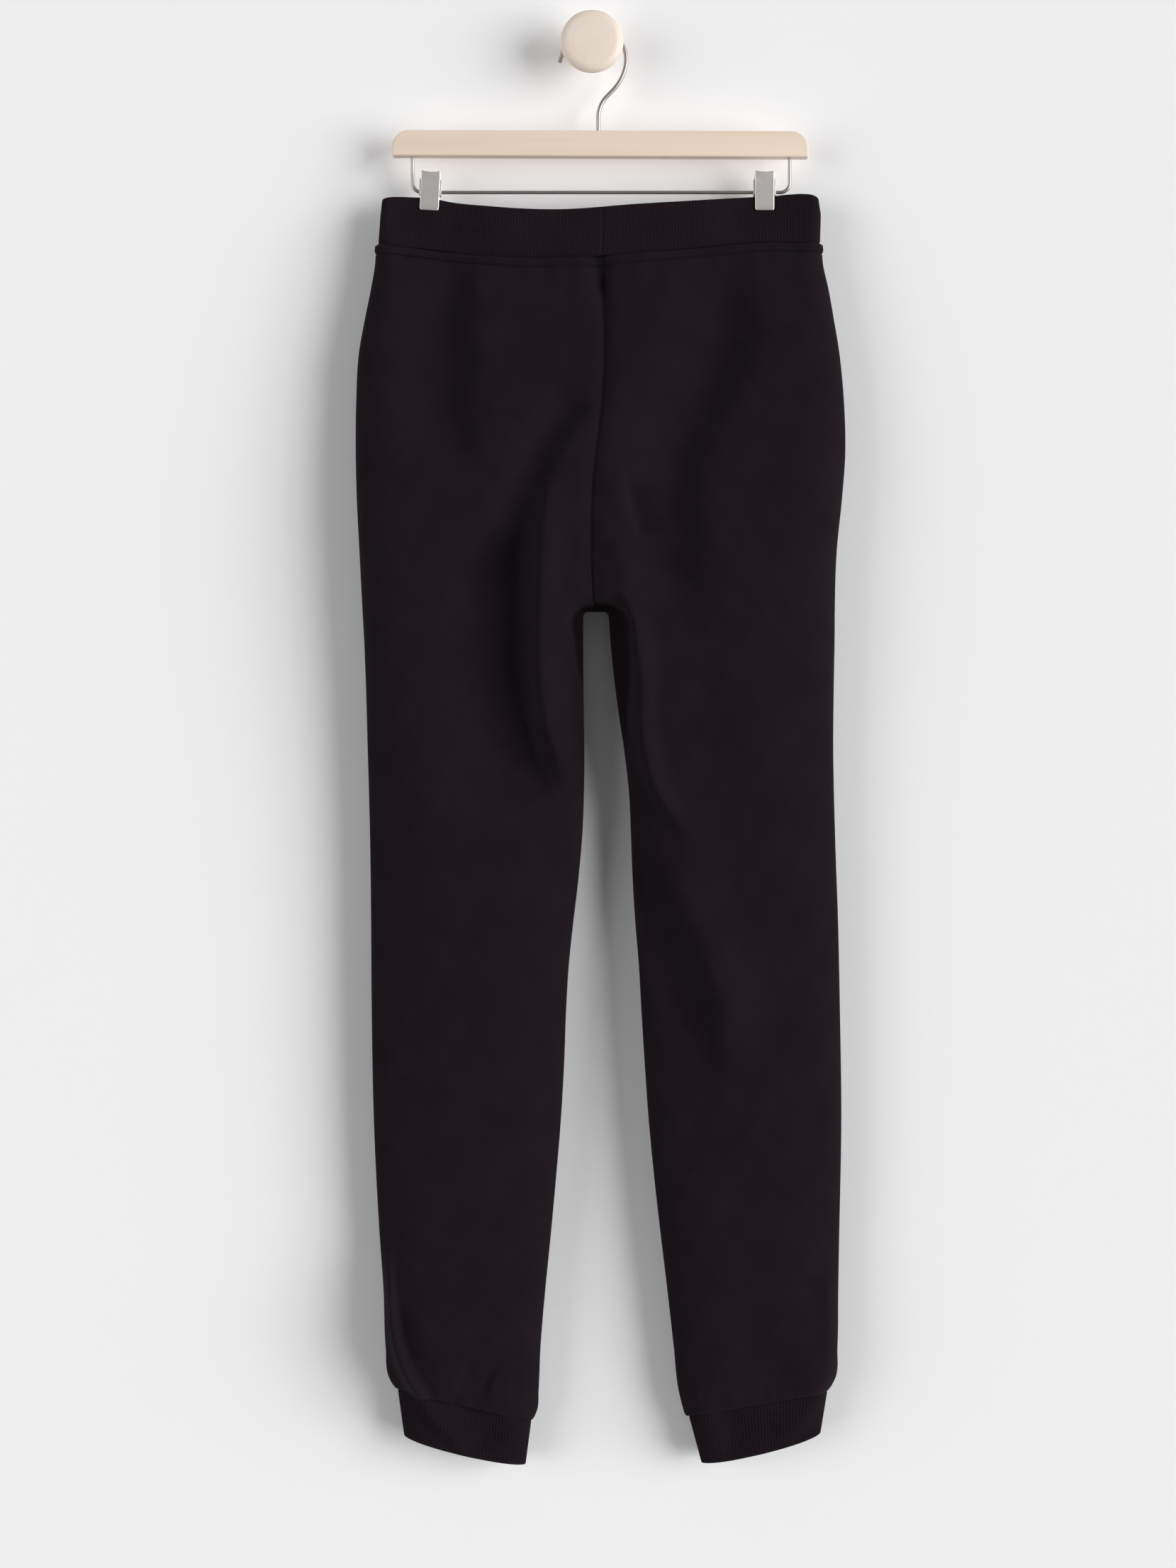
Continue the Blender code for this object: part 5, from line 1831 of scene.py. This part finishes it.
@dataclass
class Knob:
    """The round wooden knob on the wall, turned on its axis."""

    radius: float = 26.5
    neck_radius: float = 12.2
    neck_length: float = 30.0
    length: float = 46.0
    rim_length: float = 34.5
    outline_steps: int = 90
    steps: int = 96

    def profile(self) -> Array:
        """Gives the turned outline, from the domed face's middle round the rim to the flat back.

        Returns:
            Pairs of the distance from the axis and the depth from the wall.
        """
        corners = np.array([
            (0.0, self.length),
            (self.radius * 0.35, self.length - 0.1),
            (self.radius * 0.62, self.length - 0.4),
            (self.radius - 3.6, self.length - 1.6),
            (self.radius - 1.0, self.length - 3.6),
            (self.radius, self.length - 6.6),
            (self.radius - 0.4, self.rim_length + 1.0),
            (self.radius - 2.0, self.rim_length),
            (self.neck_radius + 3.0, self.rim_length - 1.5),
            (self.neck_radius, self.neck_length),
            (self.neck_radius, self.neck_length * 0.5),
            (self.neck_radius, 0.0),
        ])
        way = travelled(corners, 0)
        steps = np.linspace(0, way[-1], self.outline_steps)
        turned = [smooth_curve(way, corners[:, axis])(steps) for axis in range(2)]
        return np.vstack([np.stack(turned, axis=-1), [(0.0, 0.0)]])

    def build(self, workshop: Workshop) -> None:
        """Turns the knob.

        Args:
            workshop: Where the piece is added.
        """
        form = bmesh.new()
        outline = [
            form.verts.new((radius * MM, -depth * MM, 0.0)) for radius, depth in self.profile()
        ]
        for near, far in zip(outline, outline[1:]):
            form.edges.new((near, far))
        bmesh.ops.spin(
            form, geom=form.verts[:] + form.edges[:], cent=(0, 0, 0), axis=(0, 1, 0),
            angle=math.tau, steps=self.steps, use_merge=True,
        )
        bmesh.ops.remove_doubles(form, verts=form.verts, dist=0.01 * MM)
        mesh = mesh_from(form, "wall_knob_wood", sharp=50.0)
        workshop.add("wall_knob_wood", mesh, Slot.WOOD, ["wall_knob"], workshop.knob_wood)


@dataclass
class Clip:
    """One clip on the rail: two bent plates with ears, and the coil spring between them.

    Heights are measured from the rail, and depths from the hanger's plane.
    """

    side: Side
    lean: float = 0.0
    top: float = 17.4
    bottom: float = -16.0
    sheet: float = 1.1
    flare: float = 1.8
    grip: float = 4.6
    lip: float = 0.25
    hollow: float = 1.1
    hollow_from: float = 9.0
    hollow_reach: float = 8.0
    corner_part: float = 14.0
    lower_corner: float = 0.9
    upper_corner: float = 0.15
    ear: float = 1.0
    ear_gap: float = 0.3
    ear_root: float = 0.6
    ear_top: float = 11.0
    ear_bottom: float = -2.8
    ear_reach: float = 3.2
    ear_edge: float = 0.28
    web_edge: float = 0.3
    block_steps: int = 3
    edge: float = 0.45
    edge_steps: int = 2
    edge_angle: float = math.radians(50)
    plate_grid: tuple[int, int] = (20, 40)
    spring_radius: float = 2.45
    spring_wire: float = 0.5
    spring_length: float = 12.4
    spring_turns: int = 9
    points_of_turn: int = 16

    @property
    def name(self) -> str:
        """The clip's name, with which the names of its nodes start."""
        return f"{self.side.word}_clip"

    def placed(self) -> Matrix:
        """Gives the clip's place on the rail, with its lean."""
        place = Vector((CLIP_PLACES[self.side], HANGER_PLANE, RAIL_HEIGHT)) * MM
        return Matrix.Translation(place) @ Matrix.Rotation(self.lean, 4, "Y")

    def plate(self, face: Face) -> bmesh.types.BMesh:
        """Bends a jaw's plate: flared, with a hollow top edge, and a lip at the bottom.

        Args:
            face: The side of the garment that the jaw lies on.

        Returns:
            The plate with its thickness, about the clip's own origin.
        """
        heights = (
            self.top, self.top - 4.0, self.ear_top - 2.0, 3.0, -6.0, self.bottom + 2.0, self.bottom
        )
        flared = [self.grip + self.flare * share for share in (1.0, 0.6, 0.2)]
        bend = smooth_curve(heights, (*flared, *[self.grip] * 3, self.grip + self.lip))
        form = bmesh.new()
        columns, rows = self.plate_grid
        bmesh.ops.create_grid(form, x_segments=columns, y_segments=rows, size=1.0)
        for vert in form.verts:
            across, up = vert.co.x, (vert.co.y + 1) / 2
            height = self.bottom + (self.top - self.bottom) * up
            part = up * self.corner_part
            corner = (
                self.lower_corner * max(0.0, 1 - part) ** 2
                + self.upper_corner * max(0.0, part - self.corner_part + 1)
            )
            into_hollow = np.array((height - self.hollow_from) / self.hollow_reach)
            dip = self.hollow * (1 - across**2) * float(smooth_step(into_hollow))
            depth = face * float(bend(np.array(height)))
            vert.co = Vector((across * (JAW_WIDTH / 2 - corner), depth, height - dip)) * MM
        form.normal_update()
        form.faces.ensure_lookup_table()
        inwards = -1 if form.faces[0].normal.y * face > 0 else 1
        bmesh.ops.solidify(form, geom=form.faces[:], thickness=inwards * self.sheet * MM)
        return form

    def add_ears(self, form: bmesh.types.BMesh, face: Face) -> None:
        """Adds a jaw's two ears, which the rail passes through, and the rear jaw's web.

        Args:
            form: The jaw.
            face: The side of the garment that the jaw lies on.
        """
        outside = JAW_WIDTH / 2
        root = self.grip + self.ear_root
        if face is Face.FRONT:
            outside = outside + self.ear_gap + self.ear
            low = (-outside, root, self.ear_bottom)
            high = (outside, root + self.sheet, self.ear_top)
            self.add_block(form, low, high, self.web_edge)
        for side in Side:
            near, far = sorted((side * (outside - self.ear), side * outside))
            first, last = sorted((face * root, -face * self.ear_reach))
            low, high = (near, first, self.ear_bottom), (far, last, self.ear_top)
            self.add_block(form, low, high, self.ear_edge)

    def add_block(self, form: bmesh.types.BMesh, low: tuple, high: tuple, radius: float) -> None:
        """Adds a block with softened edges between two corners.

        Args:
            form: What it is added to.
            low: Its lowest corner.
            high: Its highest corner.
            radius: That of its edges.
        """
        low, high = Vector(low) * MM, Vector(high) * MM
        made = bmesh.ops.create_cube(form, size=1.0)["verts"]
        bmesh.ops.scale(form, vec=high - low, verts=made)
        bmesh.ops.translate(form, vec=(low + high) / 2, verts=made)
        edges = list({edge for vert in made for edge in vert.link_edges})
        soften(form, edges, radius, self.block_steps)

    def spring_mesh(self) -> bpy.types.Mesh:
        """Winds the spring round the rail.

        Returns:
            Its mesh, about the clip's own origin.
        """
        turns = np.linspace(0, self.spring_turns, self.spring_turns * self.points_of_turn + 1)
        half = self.spring_length / 2 - self.spring_wire
        along = np.clip(turns / self.spring_turns * 2 - 1, -1, 1) * half
        angle, radius = turns * math.tau, self.spring_radius
        route = np.stack([along, radius * np.cos(angle), radius * np.sin(angle)], axis=-1)
        return wire_mesh(f"{self.name}_coil", route, self.spring_wire, smoothness=2)

    def build(self, workshop: Workshop) -> None:
        """Builds the two jaws and the spring.

        Args:
            workshop: Where the pieces are added.
        """
        for face, which in ((Face.BACK, "front"), (Face.FRONT, "rear")):
            form = self.plate(face)
            self.add_ears(form, face)
            bmesh.ops.transform(form, matrix=self.placed(), verts=form.verts)
            node = f"{self.name}_{which}_jaw"
            mesh = mesh_from(form, f"{node}_plate", sharp=35.0)
            made = workshop.add(f"{node}_plate", mesh, Slot.STEEL, [node])
            bevel = made.modifiers.new("soft edges", "BEVEL")
            bevel.width = self.edge * MM
            bevel.segments = self.edge_steps
            bevel.limit_method = "ANGLE"
            bevel.angle_limit = self.edge_angle
        coil = self.spring_mesh()
        coil.transform(self.placed())
        spring = [f"{self.name}_spring"]
        workshop.add(f"{self.name}_coil", coil, Slot.STEEL, spring, workshop.wire)


@dataclass
class Joggers:
    """The whole garment: four panels with their stitching, the waistband and two cuffs."""

    garment: Garment = field(default_factory=Garment)
    strip: SewnStrip = field(default_factory=SewnStrip)
    cuffs: dict[Side, CuffOutline] = field(default_factory=lambda: {
        Side.LEFT: CuffOutline(
            *points((-164.6, -1137.4), (-50.8, -1164.2), (-159.0, -1178.6), (-55.8, -1202.6))
        ),
        Side.RIGHT: CuffOutline(
            *points((199.6, -1138.8), (81.6, -1160.6), (193.6, -1176.6), (92.6, -1201.4))
        ),
    })
    cuts: dict[Face, PanelCut] = field(default_factory=lambda: {
        Face.BACK: PanelCut(116, 136, 236, (0.262, 1.01), 0.209),
        Face.FRONT: PanelCut(72, 108, 150, (0.238, 1.01), 0.2),
    })

    def build(self, workshop: Workshop) -> None:
        """Builds each piece of cloth in the order in which it is sewn.

        Args:
            workshop: Where the pieces are added.
        """
        for face, cut in self.cuts.items():
            for side, outline in self.cuffs.items():
                Panel(self.garment, face, side, outline, self.strip, cut).build(workshop)
        Waistband(garment=self.garment).build(workshop)
        for side, outline in self.cuffs.items():
            Cuff(garment=self.garment, side=side, outline=outline).build(workshop)


class SoftLight(NamedTuple):
    """A softbox far away, with its angles in degrees.

    Its azimuth goes from the viewer's side to the right.
    """

    name: str
    azimuth: float
    elevation: float
    spread: float
    strength: float

    def towards_garment(self) -> Vector:
        """Works out the direction in which the light shines.

        Returns:
            The unit vector.
        """
        azimuth, elevation = math.radians(self.azimuth), math.radians(self.elevation)
        level = math.cos(elevation)
        across, into_wall = -math.sin(azimuth) * level, math.cos(azimuth) * level
        return Vector((across, into_wall, -math.sin(elevation)))


@dataclass
class Studio:
    """The white wall, the pale floor, the soft light and the camera.

    Sizes are in metres, apart from those of the lens and the sensor, in millimetres.
    """

    wall_width: float = 9.0
    wall_top: float = 2.4
    wall_gap: float = 0.0004
    floor_height: float = -1.65
    floor_depth: float = 9.0
    camera_place: tuple[float, float, float] = (-0.0033, -2.8265, -0.6261)
    lens: float = 75.95
    sensor: float = 36.0
    camera_reach: float = 50.0
    lights: tuple[SoftLight, ...] = (
        SoftLight("softbox_right", azimuth=57, elevation=1, spread=46, strength=3.26),
        SoftLight("softbox_left", azimuth=-55, elevation=0, spread=46, strength=1.26),
        SoftLight("light_behind_wall", azimuth=180, elevation=32, spread=30, strength=2.4),
    )
    world_colour: Colour = (0.98, 0.99, 1.0)
    world_strength: float = 0.18

    def add_plane(
        self, name: str, across: Vector, up: Vector, centre: Vector, paint: bpy.types.Material
    ) -> None:
        """Adds a flat plane of the stage, which casts no shadow.

        Args:
            name: Its name.
            across: Half its width, as a vector.
            up: Half its height, as a vector; across and up turn its face to the viewer.
            centre: Its middle.
            paint: Its material.
        """
        form = bmesh.new()
        bmesh.ops.create_grid(form, x_segments=1, y_segments=1, size=1.0)
        for vert in form.verts:
            vert.co = centre + across * vert.co.x + up * vert.co.y
        mesh = bpy.data.meshes.new(name)
        form.to_mesh(mesh)
        form.free()
        mesh.materials.append(paint)
        made = add_object(name, mesh)
        made.visible_shadow = False

    def build_room(self) -> None:
        """Builds the wall and the floor."""
        paint = paint_group()
        stipple = {"specular": 0.2, "relief": 0.0003, "strength": 0.06}
        white = StageFinish("white_wall_paint", (0.865, 0.865, 0.875), 0.9, **stipple)
        pale = StageFinish("pale_floor", (0.27, 0.265, 0.26), 0.8, **stipple)
        height = self.wall_top - self.floor_height
        centre = Vector((0.0, self.wall_gap, self.floor_height + height / 2))
        half_width = Vector((self.wall_width / 2, 0.0, 0.0))
        half_height = Vector((0, 0, height / 2))
        self.add_plane("stage_wall", half_width, half_height, centre, white.make(paint))
        half_depth = Vector((0.0, self.floor_depth / 2, 0.0))
        centre = Vector((0, 0, self.floor_height))
        self.add_plane("stage_floor", half_width, half_depth, centre, pale.make(paint))

    def add_light(self, light: SoftLight) -> None:
        """Adds a soft light, as a sun of that spread.

        Args:
            light: Where it comes from and how strong it is.
        """
        data = bpy.data.lights.new(light.name, "SUN")
        data.energy = light.strength
        data.angle = math.radians(light.spread)
        made = add_object(light.name, data)
        towards = light.towards_garment()
        made.location = -towards
        made.rotation_mode = "QUATERNION"
        made.rotation_quaternion = towards.to_track_quat("-Z", "Y")

    def build_world(self) -> None:
        """Sets the faint light that comes from all round."""
        world = bpy.data.worlds.new("soft_room")
        world.use_nodes = True
        background = world.node_tree.nodes["Background"]
        background.inputs["Color"].default_value = (*self.world_colour, 1.0)
        background.inputs["Strength"].default_value = self.world_strength
        bpy.context.scene.world = world

    def add_camera(self) -> None:
        """Sets the camera at the photograph's angle."""
        data = bpy.data.cameras.new("photo_camera")
        data.sensor_width = self.sensor
        data.lens = self.lens
        data.clip_end = self.camera_reach
        camera = add_object("photo_camera", data)
        camera.location = self.camera_place
        camera.rotation_euler = (math.pi / 2, 0.0, 0.0)
        bpy.context.scene.camera = camera
        bpy.context.scene.view_settings.view_transform = "Standard"

    def build(self) -> None:
        """Builds the stage and sets the lights and the camera."""
        self.build_room()
        for light in self.lights:
            self.add_light(light)
        self.build_world()
        self.add_camera()
        log.info("stage, lights and camera set")


def main() -> None:
    """Builds the joggers, what holds them up, and the stage."""
    logging.basicConfig(level=logging.INFO, format="%(name)s %(message)s")
    workshop = Workshop()
    Joggers().build(workshop)
    Knob().build(workshop)
    Hanger().build(workshop)
    Clip(Side.LEFT, lean=math.radians(3.0)).build(workshop)
    Clip(Side.RIGHT).build(workshop)
    Studio().build()


if __name__ == "__main__":
    main()
